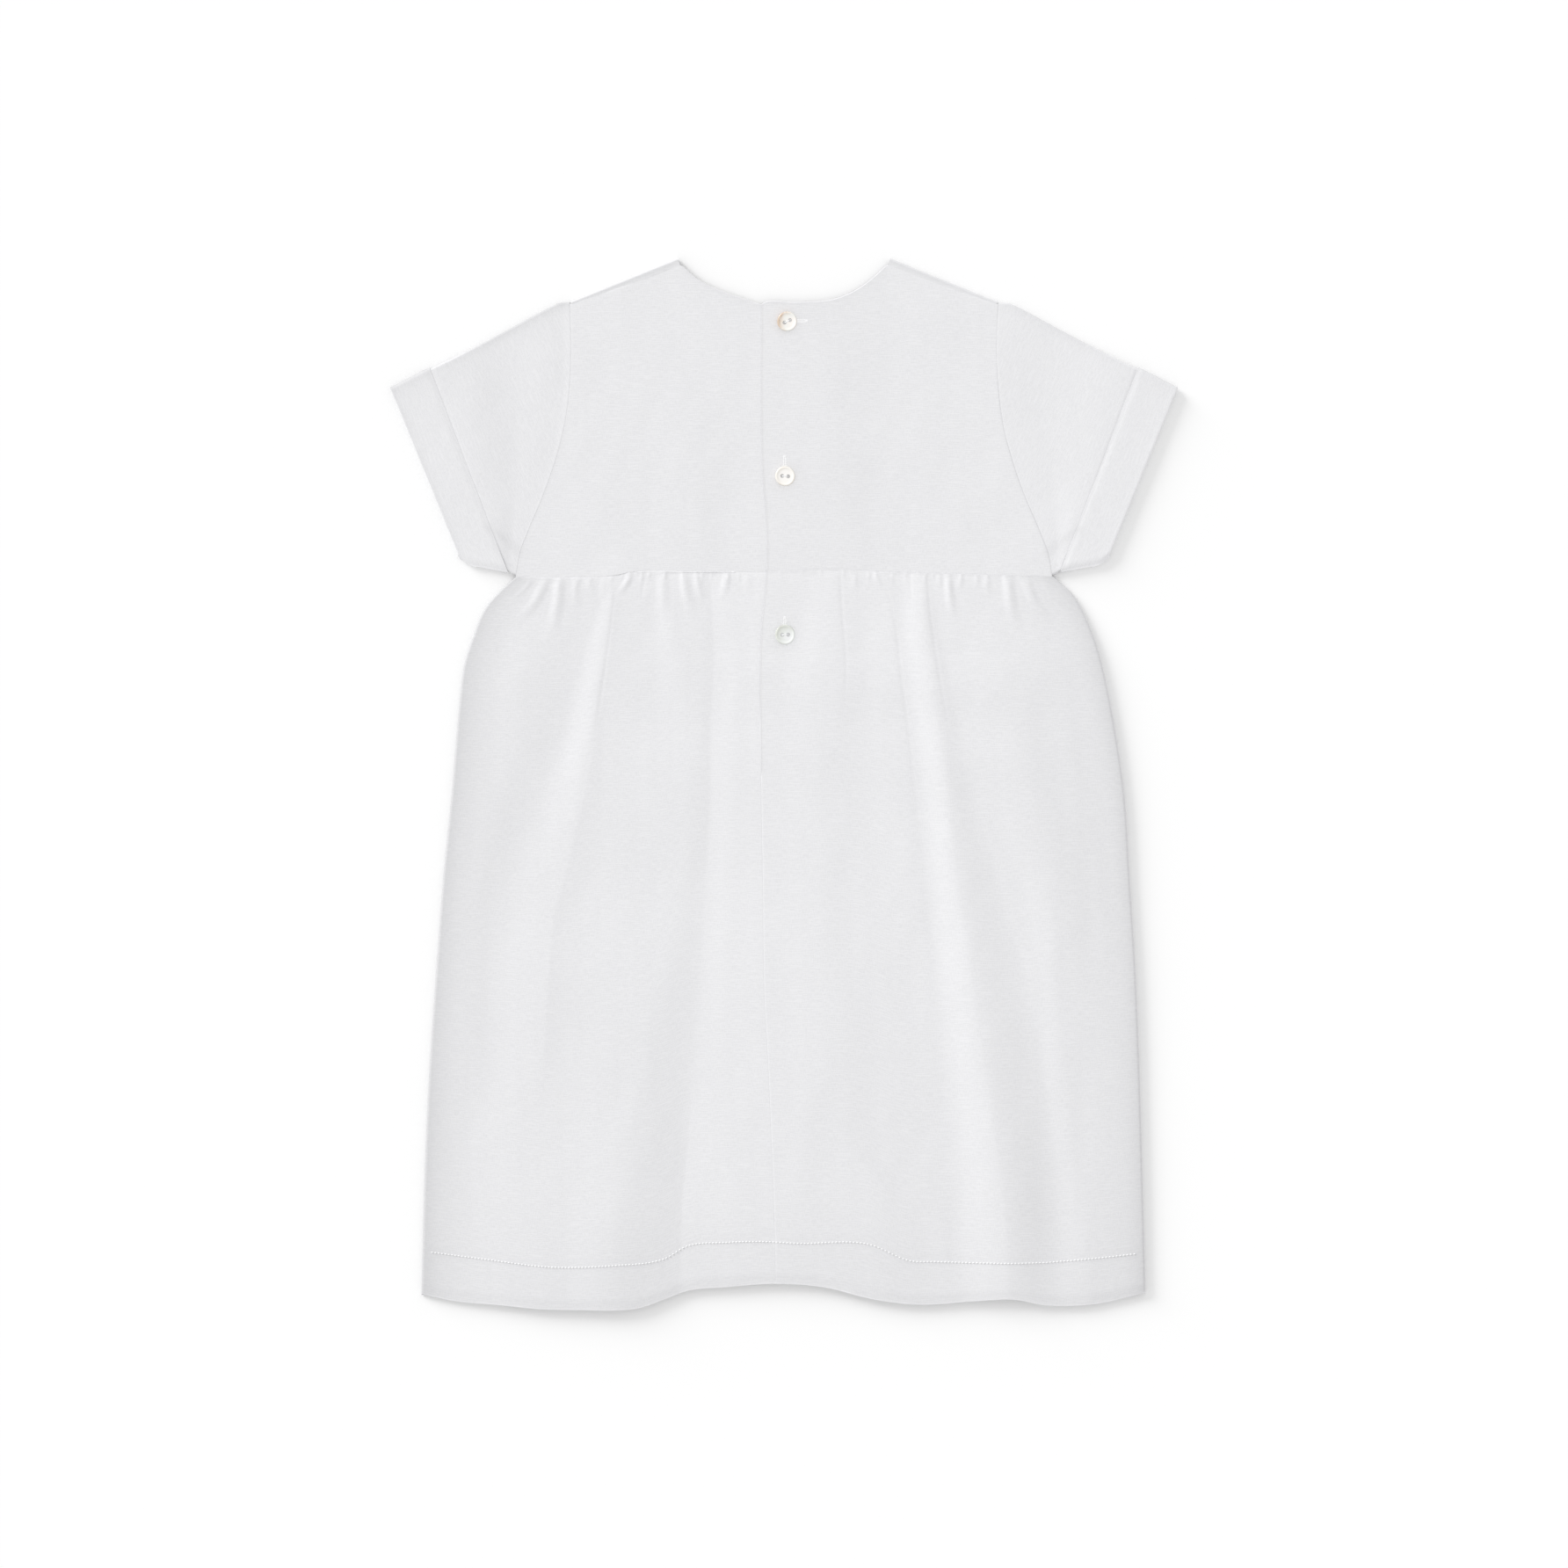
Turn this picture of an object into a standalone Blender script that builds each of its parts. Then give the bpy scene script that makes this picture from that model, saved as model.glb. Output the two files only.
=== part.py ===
"""A short-sleeved toddler dress with a gathered skirt and a buttoned back, laid flat with its back up.

The dress lies on its front. X runs to the right across the back, Y towards the neck, Z up from the surface that it
lies on. The origin is on that surface, under the middle of the dress. Sizes are in millimetres until the points
are placed, and the scene is in metres.
"""

import math
from collections import namedtuple

import bmesh
import bpy
from mathutils import Vector

MM = 0.001

# --- Cloth -----------------------------------------------------------------------------------------------
WALL = 1.0  # thickness of the cloth
GAP = 0.3  # between pieces, at a seam or where one lies on another
LAYER = WALL + GAP  # from the middle of one cloth to the middle of the one that lies on it
FIRST = WALL / 2  # height of the middle of the cloth that lies on the surface
SECOND = FIRST + LAYER  # and of the cloth on top of it
FOLD = LAYER / 2  # radius, to the middle of the cloth, where cloth is folded back on itself
FOLD_REACH = FOLD + WALL / 2  # from the outside of a fold to the line that it turns round
TURN_STEPS = 4  # flats round a folded edge
SEAM_CUTS = 2  # in each edge of the bodice along the waist seam, so that it follows the skirt's

# --- Bodice ----------------------------------------------------------------------------------------------
LAP_EDGE = -11.4  # folded edge of the right back, left of the centre
UNDERLAP_EDGE = 12.0  # hidden edge of the left back, under the right one
LAP_HELD = 13.0  # the right back stays lifted as far as this, past the underlap's edge,
LAP_RUNS_OUT = 21.0  # and has come down by this
SHOULDER_TIP = (53.4, 263.3)  # where the shoulder fold meets the neck, on each side
SHOULDER_POINT = (107.2, 241.6)  # where it meets the armhole
FRONT_NECK_DEPTH = 52.0  # the hidden front neckline, below the shoulder tips
UNDERLAP_DROP = 0.6  # the underlap's top stays just below the neckline that covers it
BODICE_COLUMNS = 13  # across each back half, with these of them under its shoulder
SHOULDER_COLUMNS = {"left": 6, "right": 5}
WAIST_BELOW_NECK = 68.0  # from the centre to where the column from the neck's corner meets the waist seam

Place = namedtuple("Place", "x y")
WAIST_LEFT = (Place(-134.3, 103.6), Place(-94.2, 103.6), Place(-84.0, 104.5), Place(-76.0, 106.2),
              Place(-44.0, 106.3), Place(-10.6, 105.8), Place(12.0, 105.8))
WAIST_RIGHT = (Place(-11.4, 107.1), Place(28.2, 107.6), Place(49.7, 106.3), Place(80.1, 105.4),
               Place(134.5, 103.9))
NECK_LEFT = (Place(-51.7, 260.6), Place(-41.8, 252.3), Place(-29.9, 246.6), Place(-19.8, 243.1),
             Place(-11.9, 240.3))
NECK_RIGHT = (Place(-11.4, 240.2), Place(-8.5, 241.7), Place(3.1, 241.3), Place(17.2, 241.8),
              Place(24.2, 242.7), Place(34.3, 246.6), Place(42.7, 252.3), Place(51.7, 260.6))

Armhole = namedtuple("Armhole", "y half_width")
ARMHOLE = (Armhole(103.6, 134.4), Armhole(115.5, 132.4), Armhole(127.0, 128.0), Armhole(142.0, 121.6),
           Armhole(158.0, 115.7), Armhole(178.0, 110.2), Armhole(195.0, 107.6), Armhole(218.0, 106.5),
           Armhole(241.6, 107.2))

# Steps up the armhole, as shares of its height, which the bodice's rows and the sleeves both follow
ARMHOLE_STEPS = (0.0, 0.045, 0.09, 0.14, 0.21, 0.31, 0.43, 0.56, 0.70, 0.85, 1.0)
FRONT_WAIST_CURVE = 1.2  # the hidden front waist seam rises this much from its sides to its middle

Band = namedtuple("Band", "from_neck width")
SHOULDER_BAND = (Band(0.0, 3.6), Band(0.5, 3.1), Band(1.0, 1.3))  # front cloth that shows above the back

# --- Sleeves and cuffs: the left ones, mirrored for the right -------------------------------------------------
SLEEVE_HEAD = (-113.5, 240.6)  # small corner of the sleeve's top edge, next to the shoulder
ARMPIT = (-134.6, 104.6)
CUFF_LINE = ((-138.0, 106.9), (-177.4, 208.9))  # free edge of the turned-up cuff, armpit side and top
CUFF_EDGE = ((-159.3, 110.6), (-196.7, 198.4))  # outer folded edge of the cuff
CUFF_TURN_IN = 0.3  # share of the cuff's width that its inner layer runs back,
SLEEVE_RUNS_IN = 0.68  # and that the sleeve runs into it, to just short of that layer
CUFF_STEPS = (0.0, 0.2, 0.4, 0.6, 0.8, 1.0)  # across each layer of the cuff, as shares of its length
CUFF_ROWS = (3, 1)  # along its outer and its inner layer
SLEEVE_ROWS = (5, 1)  # along the sleeve, outside and inside the cuff

# How the sleeve's edge goes from its seam to the corner at its head and on to the cuff, as shares: from where up
# the seam the edge bends, how far out the corner is, and over how much more it dies away
Head = namedtuple("Head", "from_seam out fades")
HEAD = Head(0.6, 0.1, 0.5)
RISE_STARTS, RISE_ENDS = 0.2, 0.8  # shares of the sleeve's length between which it rises into the cuff

# --- Skirt -----------------------------------------------------------------------------------------------
Side = namedtuple("Side", "y left right")
SKIRT_SIDE = (
    Side(103.7, -134.1, 135.0), Side(96.6, -140.8, 143.2), Side(88.7, -148.3, 148.5),
    Side(73.3, -154.9, 155.2), Side(60.1, -159.2, 159.2), Side(40.3, -161.9, 163.5),
    Side(-3.7, -165.9, 170.3), Side(-47.7, -170.3, 173.2), Side(-91.7, -173.6, 176.0),
    Side(-135.7, -176.7, 177.8), Side(-188.5, -179.4, 179.4), Side(-255.0, -181.3, 181.1))
HEM = (Place(-181.3, -255.4), Place(-165.4, -258.9), Place(-140.8, -261.1), Place(-121.0, -263.0),
       Place(-103.8, -263.3), Place(-73.0, -262.4), Place(-60.3, -258.1), Place(-48.0, -253.7),
       Place(-29.5, -251.9), Place(-4.8, -250.2), Place(19.8, -251.9), Place(45.3, -258.1),
       Place(67.8, -260.7), Place(95.9, -258.9), Place(115.7, -258.1), Place(131.1, -261.0),
       Place(156.2, -260.3), Place(181.1, -254.6))
CENTRE_BACK = (Place(-4.0, -255.0), Place(-4.6, -223.7), Place(-8.4, -131.0), Place(-9.7, -109.0),
               Place(-10.6, -47.7), Place(-11.4, -0.7), Place(-11.4, 76.0), Place(-8.8, 105.0),
               Place(-8.8, 128.0), Place(-10.6, 152.0), Place(-11.4, 172.0), Place(-11.4, 242.0))
OPENING_END = 104.0  # from the waist seam down to the end of the buttoned opening
LAP_CLEARANCE = 2.0  # the underlap is flat from here, short of the edge that covers it,
LAP_CLEARS_OVER = 3.0  # and the gathers beside it die away over this
LAP_ENDS = (107.0, 118.0)  # below the seam, where the right back starts and ends coming down past the underlap
# Rows of the skirt, as millimetres below the waist seam: close together where it is gathered
SKIRT_ROWS = (0.0, 2.6, 6.0, 12.0, 21.0, 34.0, 52.0, 76.0, 104.0, 107.0, 118.0, 140.0, 170.0, 204.0,
              240.0, 278.0, 316.0, 359.0)
GATHERED_ROWS = 5  # of those rows are as close across as the gathers need
SKIRT_COLUMNS = {"left": 20, "right": 22}
LAP_COLUMNS = 3  # across the underlap, and across the part of the right back that it lifts
GATHER_CUTS = 2  # in each column, in the gathered rows
FRONT_GATHERED_ROWS = 4
FRONT_COLUMNS = 16
FRONT_GATHER_CUTS = 5
FRONT_INSET = 2.0  # the front skirt's sides and hem stay this far inside the back's
SIDE_TURN = 1.3  # radius of the back skirt's side edge, which turns down round the front's
SIDE_STEPS = 2
SIDE_ROLL = 13.0  # the skirt rises softly from its sides over this width
LOFT = 0.6  # air between the back and the front of the skirt away from its sides
LOFT_STARTS = 8.0  # below the waist seam
FRONT_GATHERS = 33
FRONT_GATHER_RISE = 0.9
FRONT_GATHER_REACH = 26.0
FRONT_GATHER_FADES = 8.0  # below the seam, from where they begin to die away

# The gathers of the back, a row for each: place along the seam, how far it leans sideways in LEAN_RUN, half of
# its width, its height, and how far down it runs
LEAN_RUN = 20.0
GATHER_FULL = 4.0  # below the seam, where a gather has its whole height
GATHER_AT_SEAM = 0.35  # share of its height that it has at the seam
GATHER_SPREADS = 40.0  # it is twice as wide this far down
Gather = namedtuple("Gather", "seam lean half_width height reach")
GATHERS = (
    Gather(-130.2, -9.0, 2.6, 1.2, 18.0), Gather(-119.7, -8.0, 2.6, 1.1, 22.0),
    Gather(-112.6, -1.5, 2.4, 1.5, 27.0), Gather(-103.0, -2.0, 2.6, 0.9, 18.0),
    Gather(-95.9, 0.0, 1.8, 0.5, 7.0), Gather(-88.9, -3.0, 3.0, 1.4, 40.0),
    Gather(-79.2, 0.0, 2.4, 0.9, 10.0), Gather(-68.6, -4.0, 3.4, 0.8, 28.0),
    Gather(-60.2, 0.0, 2.4, 1.5, 44.0), Gather(-54.6, 0.5, 1.6, 0.5, 6.0),
    Gather(-48.0, 6.0, 3.4, 1.3, 36.0), Gather(-36.6, 1.0, 2.2, 0.8, 12.0),
    Gather(-28.2, -1.5, 2.8, 1.5, 46.0), Gather(-22.4, 0.0, 1.6, 0.5, 6.0),
    Gather(-16.6, 0.5, 2.2, 0.8, 30.0), Gather(-2.8, -1.5, 2.8, 0.7, 22.0),
    Gather(8.2, -1.5, 3.0, 0.7, 30.0), Gather(21.8, -2.0, 3.4, 1.0, 44.0),
    Gather(33.4, 0.0, 2.2, 0.6, 16.0), Gather(40.6, 3.0, 2.6, 0.9, 36.0),
    Gather(52.0, 5.0, 2.6, 1.0, 20.0), Gather(65.2, -0.5, 3.4, 1.5, 46.0),
    Gather(71.4, 0.5, 1.6, 0.5, 6.0), Gather(77.2, 5.0, 2.6, 1.5, 40.0),
    Gather(88.4, 6.0, 2.6, 0.9, 34.0), Gather(101.6, 2.0, 2.8, 1.1, 20.0),
    Gather(111.4, 3.0, 2.4, 1.5, 34.0), Gather(119.6, 8.0, 2.6, 1.2, 22.0),
    Gather(129.8, 8.0, 2.6, 1.2, 20.0))

# The long folds of the skirt, a row for each height that one passes: where its crest is, how wide its left and
# right flanks are, and how high it stands
Fold = namedtuple("Fold", "y crest left right height")
LONG_FOLDS = {
    "left_ridge": (Fold(92.0, -88.5, 5.0, 4.0, 0.4), Fold(60.0, -93.5, 10.0, 6.5, 1.8),
                   Fold(16.0, -99.4, 17.0, 8.0, 2.4), Fold(-40.0, -112.0, 24.0, 12.0, 2.2),
                   Fold(-100.0, -120.0, 26.0, 16.0, 1.5), Fold(-170.0, -126.0, 26.0, 20.0, 0.5),
                   Fold(-215.0, -130.0, 26.0, 20.0, 0.0)),
    "left_swell": (Fold(60.0, -42.0, 9.0, 6.0, 0.2), Fold(0.0, -46.0, 20.0, 9.0, 0.7),
                   Fold(-47.7, -49.5, 26.0, 12.0, 1.0), Fold(-113.7, -60.0, 30.0, 16.5, 1.6),
                   Fold(-179.7, -78.0, 34.0, 28.0, 2.4), Fold(-223.7, -88.0, 34.0, 31.5, 2.8),
                   Fold(-264.0, -92.0, 34.0, 32.0, 3.0)),
    "centre_swell": (Fold(80.0, -29.0, 6.0, 10.0, 0.6), Fold(18.0, -25.5, 11.5, 13.0, 1.4),
                     Fold(-47.7, -24.5, 13.0, 24.0, 1.6), Fold(-113.7, -25.0, 18.5, 30.0, 1.9),
                     Fold(-179.7, -26.0, 24.0, 46.0, 2.3), Fold(-223.7, -26.0, 30.5, 60.0, 2.5),
                     Fold(-264.0, -26.0, 34.0, 70.0, 2.6)),
    "right_ridge": (Fold(92.0, 68.0, 7.0, 4.0, 0.5), Fold(75.5, 70.4, 12.0, 6.0, 1.3),
                    Fold(51.7, 73.0, 13.0, 8.0, 2.0), Fold(18.3, 77.9, 15.0, 11.0, 2.6),
                    Fold(-47.7, 86.7, 16.0, 12.0, 3.0), Fold(-113.7, 98.6, 20.0, 14.0, 3.0),
                    Fold(-179.7, 108.7, 25.0, 18.0, 3.0), Fold(-223.7, 114.4, 26.0, 21.0, 2.9),
                    Fold(-264.0, 117.4, 26.0, 22.0, 2.8)),
    "outer_ridge": (Fold(80.0, 95.5, 5.0, 4.0, 0.4), Fold(40.0, 106.5, 10.0, 9.0, 1.0),
                    Fold(10.3, 119.2, 14.0, 14.0, 1.3), Fold(-47.7, 133.3, 24.0, 20.0, 1.6),
                    Fold(-113.7, 142.0, 24.0, 24.0, 1.5), Fold(-179.7, 147.8, 22.0, 24.0, 1.1),
                    Fold(-264.0, 154.0, 24.0, 20.0, 0.9)),
    "centre_ridge": (Fold(90.0, 41.0, 5.0, 8.0, 0.2), Fold(50.0, 43.0, 9.0, 14.0, 0.8),
                     Fold(0.0, 46.0, 14.0, 16.0, 0.7), Fold(-50.0, 48.0, 16.0, 18.0, 0.0)),
    "hem_flute": (Fold(-200.0, 70.0, 10.0, 8.0, 0.0), Fold(-240.0, 74.0, 12.0, 9.0, 0.8),
                  Fold(-264.0, 75.5, 12.0, 9.0, 1.0)),
}

# --- Buttons ---------------------------------------------------------------------------------------------
Ring = namedtuple("Ring", "radius height")
BUTTON_SECTION = (  # from the middle of the dished face, over the rim, to the middle of the back
    Ring(0.0, 1.5), Ring(3.2, 1.5), Ring(3.9, 1.88), Ring(4.25, 2.0), Ring(4.65, 1.95),
    Ring(5.0, 1.5), Ring(4.85, 0.6), Ring(3.8, 0.05), Ring(2.9, 0.0), Ring(0.0, 0.0))
BUTTON_RADIUS = max(ring.radius for ring in BUTTON_SECTION)
BUTTON_STEPS = 24
HOLE_RADIUS = 0.7
HOLE_SPACING = 3.0
HOLE_DEPTH = 8.0  # of the cutter, which passes right through
HOLE_STEPS = 12
Button = namedtuple("Button", "name x y turn tilt")
BUTTONS = (Button("button_top", 1.6, 231.4, 24.0, 0.0), Button("button_middle", 0.6, 154.0, -4.0, 0.0),
           Button("button_bottom", 0.3, 74.6, 2.0, 12.0))

LINEN = (0.83, 0.83, 0.84)
PEARL = (0.80, 0.76, 0.71)


# --- Curves ----------------------------------------------------------------------------------------------
def ease(share):
    """From 0 to 1 and level at both ends."""
    share = min(max(share, 0.0), 1.0)
    return share * share * (3.0 - 2.0 * share)


def mix(first, second, share):
    return first + (second - first) * share


def through(rows, place, value, at):
    """The value at `at` on the smooth curve through a table's rows."""
    places = [getattr(row, place) for row in rows]
    values = [getattr(row, value) for row in rows]
    if places[0] > places[-1]:
        places.reverse()
        values.reverse()
    if at <= places[0]:
        return values[0]
    if at >= places[-1]:
        return values[-1]
    slopes = [(values[i + 1] - values[i]) / (places[i + 1] - places[i]) for i in range(len(places) - 1)]
    i = max(j for j in range(len(slopes)) if places[j] <= at)
    before = slopes[i] if i == 0 else (slopes[i - 1] + slopes[i]) / 2.0
    after = slopes[i] if i == len(slopes) - 1 else (slopes[i] + slopes[i + 1]) / 2.0
    step = places[i + 1] - places[i]
    t = (at - places[i]) / step
    return (values[i] * (1 + 2 * t) * (1 - t) ** 2 + before * step * t * (1 - t) ** 2
            + values[i + 1] * t * t * (3 - 2 * t) + after * step * t * t * (t - 1))


def coons(low, high, left, right, across, up):
    """The point of the patch between four edges, each a function from 0 to 1."""
    between_rows = mix(low(across), high(across), up)
    between_sides = mix(left(up), right(up), across)
    corners = mix(mix(low(0), high(0), up), mix(low(1), high(1), up), across)
    return between_rows + between_sides - corners


def at_step(table, step):
    """The value at a step, which may lie between two of the table's."""
    first = min(int(step), len(table) - 2)
    return mix(table[first], table[first + 1], step - first)


def spread(stops, column):
    """The value at a column, evenly spread between stops of (column, value)."""
    for (first, low), (last, high) in zip(stops, stops[1:]):
        if column <= last:
            return mix(low, high, (column - first) / (last - first))
    return stops[-1][1]


def waist(x, side):
    return through(WAIST_LEFT if side == "left" else WAIST_RIGHT, "x", "y", x)


def front_waist(x):
    side_y = ARMHOLE[0].y
    return side_y + FRONT_WAIST_CURVE * (1.0 - (x / armhole_x(side_y)) ** 2)


def armhole_x(y):
    return through(ARMHOLE, "y", "half_width", y)


def centre_back_x(y):
    return through(CENTRE_BACK, "y", "x", y)


def shoulder(from_neck, inset):
    """A point along the right shoulder fold, moved in towards the waist."""
    tip, point = Vector(SHOULDER_TIP), Vector(SHOULDER_POINT)
    along = (point - tip).normalized()
    return mix(tip, point, from_neck) + Vector((along.y, -along.x)) * inset


def band_width(from_neck):
    return through(SHOULDER_BAND, "from_neck", "width", from_neck)


# --- Heights of the cloth ----------------------------------------------------------------------------------
def from_side(x, y):
    """How far a point of the skirt is from its nearer side."""
    return min(x - through(SKIRT_SIDE, "y", "left", y), through(SKIRT_SIDE, "y", "right", y) - x)


def fold_rise(rows, x, y):
    if not rows[-1].y <= y <= rows[0].y:
        return 0.0
    crest, left, right, height = (through(rows, "y", column, y) for column in Fold._fields[1:])
    width = left if x < crest else right
    return height * ease(1.0 - abs(x - crest) / width)


def gather_rise(gather, x, below):
    if below > gather.reach:
        return 0.0
    strength = mix(GATHER_AT_SEAM, 1.0, ease(below / GATHER_FULL))
    strength *= 1.0 - ease((below - GATHER_FULL) / (gather.reach - GATHER_FULL))
    centre = gather.seam + gather.lean * below / LEAN_RUN
    half_width = gather.half_width * (1.0 + below / GATHER_SPREADS)
    across = abs(x - centre) / half_width
    return gather.height * strength * (1.0 - across * across) ** 2 if across < 1.0 else 0.0


def gather_swell(below):
    """How much of their height the front's gathers have, from the seam down."""
    fading = (below - FRONT_GATHER_FADES) / (FRONT_GATHER_REACH - FRONT_GATHER_FADES)
    return ease(below / GATHER_FULL) * (1.0 - ease(fading))


def back_skirt_rise(x, y, below, kept):
    """How far the back of the skirt stands above the cloth's second layer."""
    folds = max(fold_rise(rows, x, y) for rows in LONG_FOLDS.values())
    gathers = max(gather_rise(gather, x, below) for gather in GATHERS) * kept
    rise = (folds ** 3 + gathers ** 3) ** (1 / 3)
    rise += LOFT * ease(below / LOFT_STARTS) + FRONT_GATHER_RISE * gather_swell(below)
    return rise * ease(from_side(x, y) / SIDE_ROLL)


def lap_rise(x, below=0.0):
    """How far the right back is lifted by the underlap beneath it."""
    across = 1.0 - ease((x - LAP_HELD) / (LAP_RUNS_OUT - LAP_HELD))
    down = 1.0 - ease((below - LAP_ENDS[0]) / (LAP_ENDS[1] - LAP_ENDS[0]))
    return LAYER * across * down


# --- Making cloth ------------------------------------------------------------------------------------------
def squares(columns, rows, leave_out=None):
    """A flat sheet of unit squares with a corner at the origin, less those whose middle is to be left out."""
    sheet = bmesh.new()
    bmesh.ops.create_grid(sheet, x_segments=columns, y_segments=rows, size=0.5)
    bmesh.ops.translate(sheet, verts=sheet.verts, vec=(0.5, 0.5, 0.0))
    bmesh.ops.scale(sheet, verts=sheet.verts, vec=(columns, rows, 1.0))
    if leave_out:
        unwanted = [face for face in sheet.faces if leave_out(*face.calc_center_median().xy)]
        bmesh.ops.delete(sheet, geom=unwanted, context="FACES")
    return sheet


def divide_across(sheet, rows, first_column, cuts):
    """Cuts the squares of the first rows into narrower ones, from a column on."""
    edges = [edge for edge in sheet.edges
             if abs(edge.verts[0].co.y - edge.verts[1].co.y) < 0.5
             and max(vert.co.y for vert in edge.verts) < rows + 0.5
             and min(vert.co.x for vert in edge.verts) > first_column - 0.5]
    bmesh.ops.subdivide_edges(sheet, edges=edges, cuts=cuts, use_grid_fill=True)


def material(name, colour, roughness):
    made = bpy.data.materials.new(name)
    made.use_nodes = True
    surface = made.node_tree.nodes["Principled BSDF"]
    surface.inputs["Base Color"].default_value = (*colour, 1.0)
    surface.inputs["Roughness"].default_value = roughness
    surface.inputs["Metallic"].default_value = 0.0
    return made


def cloth(collection, name, sheet, place, even=True):
    """A piece of cloth: a sheet whose points go where place(column, row) says, with the wall round its middle."""
    for vert in sheet.verts:
        vert.co = Vector(place(vert.co.x, vert.co.y)) * MM
    bmesh.ops.remove_doubles(sheet, verts=sheet.verts, dist=0.01 * MM)
    mesh = bpy.data.meshes.new(name)
    sheet.to_mesh(mesh)
    sheet.free()
    mesh.shade_smooth()
    mesh.materials.append(material(f"{name}_linen", LINEN, 0.9))
    piece = bpy.data.objects.new(name, mesh)
    collection.objects.link(piece)
    wall = piece.modifiers.new("wall", "SOLIDIFY")
    wall.thickness = WALL * MM
    wall.offset = 0.0
    wall.use_even_offset = even
    wall.use_quality_normals = True
    return piece


# --- Bodice --------------------------------------------------------------------------------------------------
def bodice_back(collection, side):
    """A back half: up from the waist seam to the shoulder seam and the neckline."""
    hand = -1.0 if side == "left" else 1.0
    rows = len(ARMHOLE_STEPS) - 1
    neck = NECK_LEFT if side == "left" else NECK_RIGHT
    side_x = hand * (armhole_x(ARMHOLE[0].y) - GAP / 2)
    neck_tip = neck[0 if side == "left" else -1].x
    columns = BODICE_COLUMNS
    shoulder_columns = SHOULDER_COLUMNS[side]
    if side == "left":
        lap_stops = ()
        top_edge = low_edge = UNDERLAP_EDGE
    else:
        lap_stops = ((columns - LAP_COLUMNS - 1, LAP_RUNS_OUT), (columns - LAP_COLUMNS, LAP_HELD))
        top_edge = LAP_EDGE
        low_edge = centre_back_x(WAIST_RIGHT[0].y)
    top_stops = ((shoulder_columns, neck_tip), *lap_stops, (columns, top_edge))
    low_stops = ((0, side_x), (shoulder_columns, hand * WAIST_BELOW_NECK), *lap_stops, (columns, low_edge))

    def top(across):
        """From the armhole to the centre edge."""
        column = across * columns
        if column <= shoulder_columns:
            from_neck = 1.0 - column / shoulder_columns
            point = shoulder(from_neck, band_width(from_neck) + GAP)
            return Vector((hand * (point.x - GAP * from_neck), point.y))
        x = spread(top_stops, column)
        under = UNDERLAP_DROP if side == "left" and x > LAP_EDGE else 0.0
        highest = shoulder(0.0, band_width(0.0) + GAP).y
        return Vector((x, min(through(neck, "x", "y", x) - under, highest)))

    def low(across):
        x = spread(low_stops, across * columns)
        return Vector((x, waist(x, side) + GAP / 2))

    def armhole(up):
        y = mix(low(0).y, top(0).y, up)
        return Vector((hand * (armhole_x(y) - GAP / 2), y))

    def centre(up):
        y = mix(low(1).y, top(1).y, up)
        return Vector((UNDERLAP_EDGE if side == "left" else centre_back_x(y), y))

    def place(column, row):
        point = coons(low, top, armhole, centre, column / columns, at_step(ARMHOLE_STEPS, row))
        return (point.x, point.y, SECOND + (lap_rise(point.x) if side == "right" else 0.0))

    sheet = squares(columns, rows)
    divide_across(sheet, 0, 0, SEAM_CUTS)
    cloth(collection, f"bodice_back_{side}", sheet, place)


def bodice_front(collection):
    """The front lies on the surface, and its shoulders fold over to the seams on the back."""
    columns, shoulder_columns, band_rows = 20, 5, 1
    rows = len(ARMHOLE_STEPS) - 1
    turned_rows = TURN_STEPS + band_rows

    def neckline(x):
        tip_x, tip_y = SHOULDER_TIP
        return tip_y - FRONT_NECK_DEPTH * math.sqrt(1.0 - (x / tip_x) ** 2)

    def fold_line(column):
        """The line that the shoulder turns round, or the neckline between the shoulders."""
        hand = -1.0 if column < columns / 2 else 1.0
        from_side_column = min(column, columns - column)
        if from_side_column <= shoulder_columns:
            point = shoulder(1.0 - from_side_column / shoulder_columns, FOLD_REACH)
            return Vector((hand * point.x, point.y))
        half = columns / 2 - shoulder_columns
        x = (column - columns / 2) / half * (SHOULDER_TIP[0] - FOLD_REACH)
        return Vector((x, neckline(x) - FOLD_REACH))

    def low(across):
        x = mix(-1.0, 1.0, across) * (armhole_x(ARMHOLE[0].y) - GAP / 2)
        return Vector((x, front_waist(x) + GAP / 2))

    def top(across):
        return fold_line(across * columns)

    def armhole(hand, up):
        y = mix(low(0).y, top(0).y, up)
        return Vector((hand * (armhole_x(y) - GAP / 2), y))

    def place(column, row):
        if row <= rows:
            point = coons(low, top, lambda up: armhole(-1.0, up), lambda up: armhole(1.0, up),
                          column / columns, at_step(ARMHOLE_STEPS, row))
            return (point.x, point.y, FIRST)
        hand = -1.0 if column < columns / 2 else 1.0
        from_neck = 1.0 - min(column, columns - column) / shoulder_columns
        turned = min((row - rows) / TURN_STEPS, 1.0) * math.pi
        inset = FOLD_REACH - FOLD * math.sin(turned)
        if row > rows + TURN_STEPS:
            inset = mix(FOLD_REACH, max(band_width(from_neck), FOLD_REACH + GAP / 2), row - rows - TURN_STEPS)
        point = shoulder(from_neck, inset)
        return (hand * (point.x - GAP * from_neck), point.y, FIRST + FOLD * (1.0 - math.cos(turned)))

    def between_shoulders(column, row):
        return row > rows and shoulder_columns < column < columns - shoulder_columns

    sheet = squares(columns, rows + turned_rows, between_shoulders)
    divide_across(sheet, 0, 0, SEAM_CUTS)
    cloth(collection, "bodice_front", sheet, place)


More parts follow.
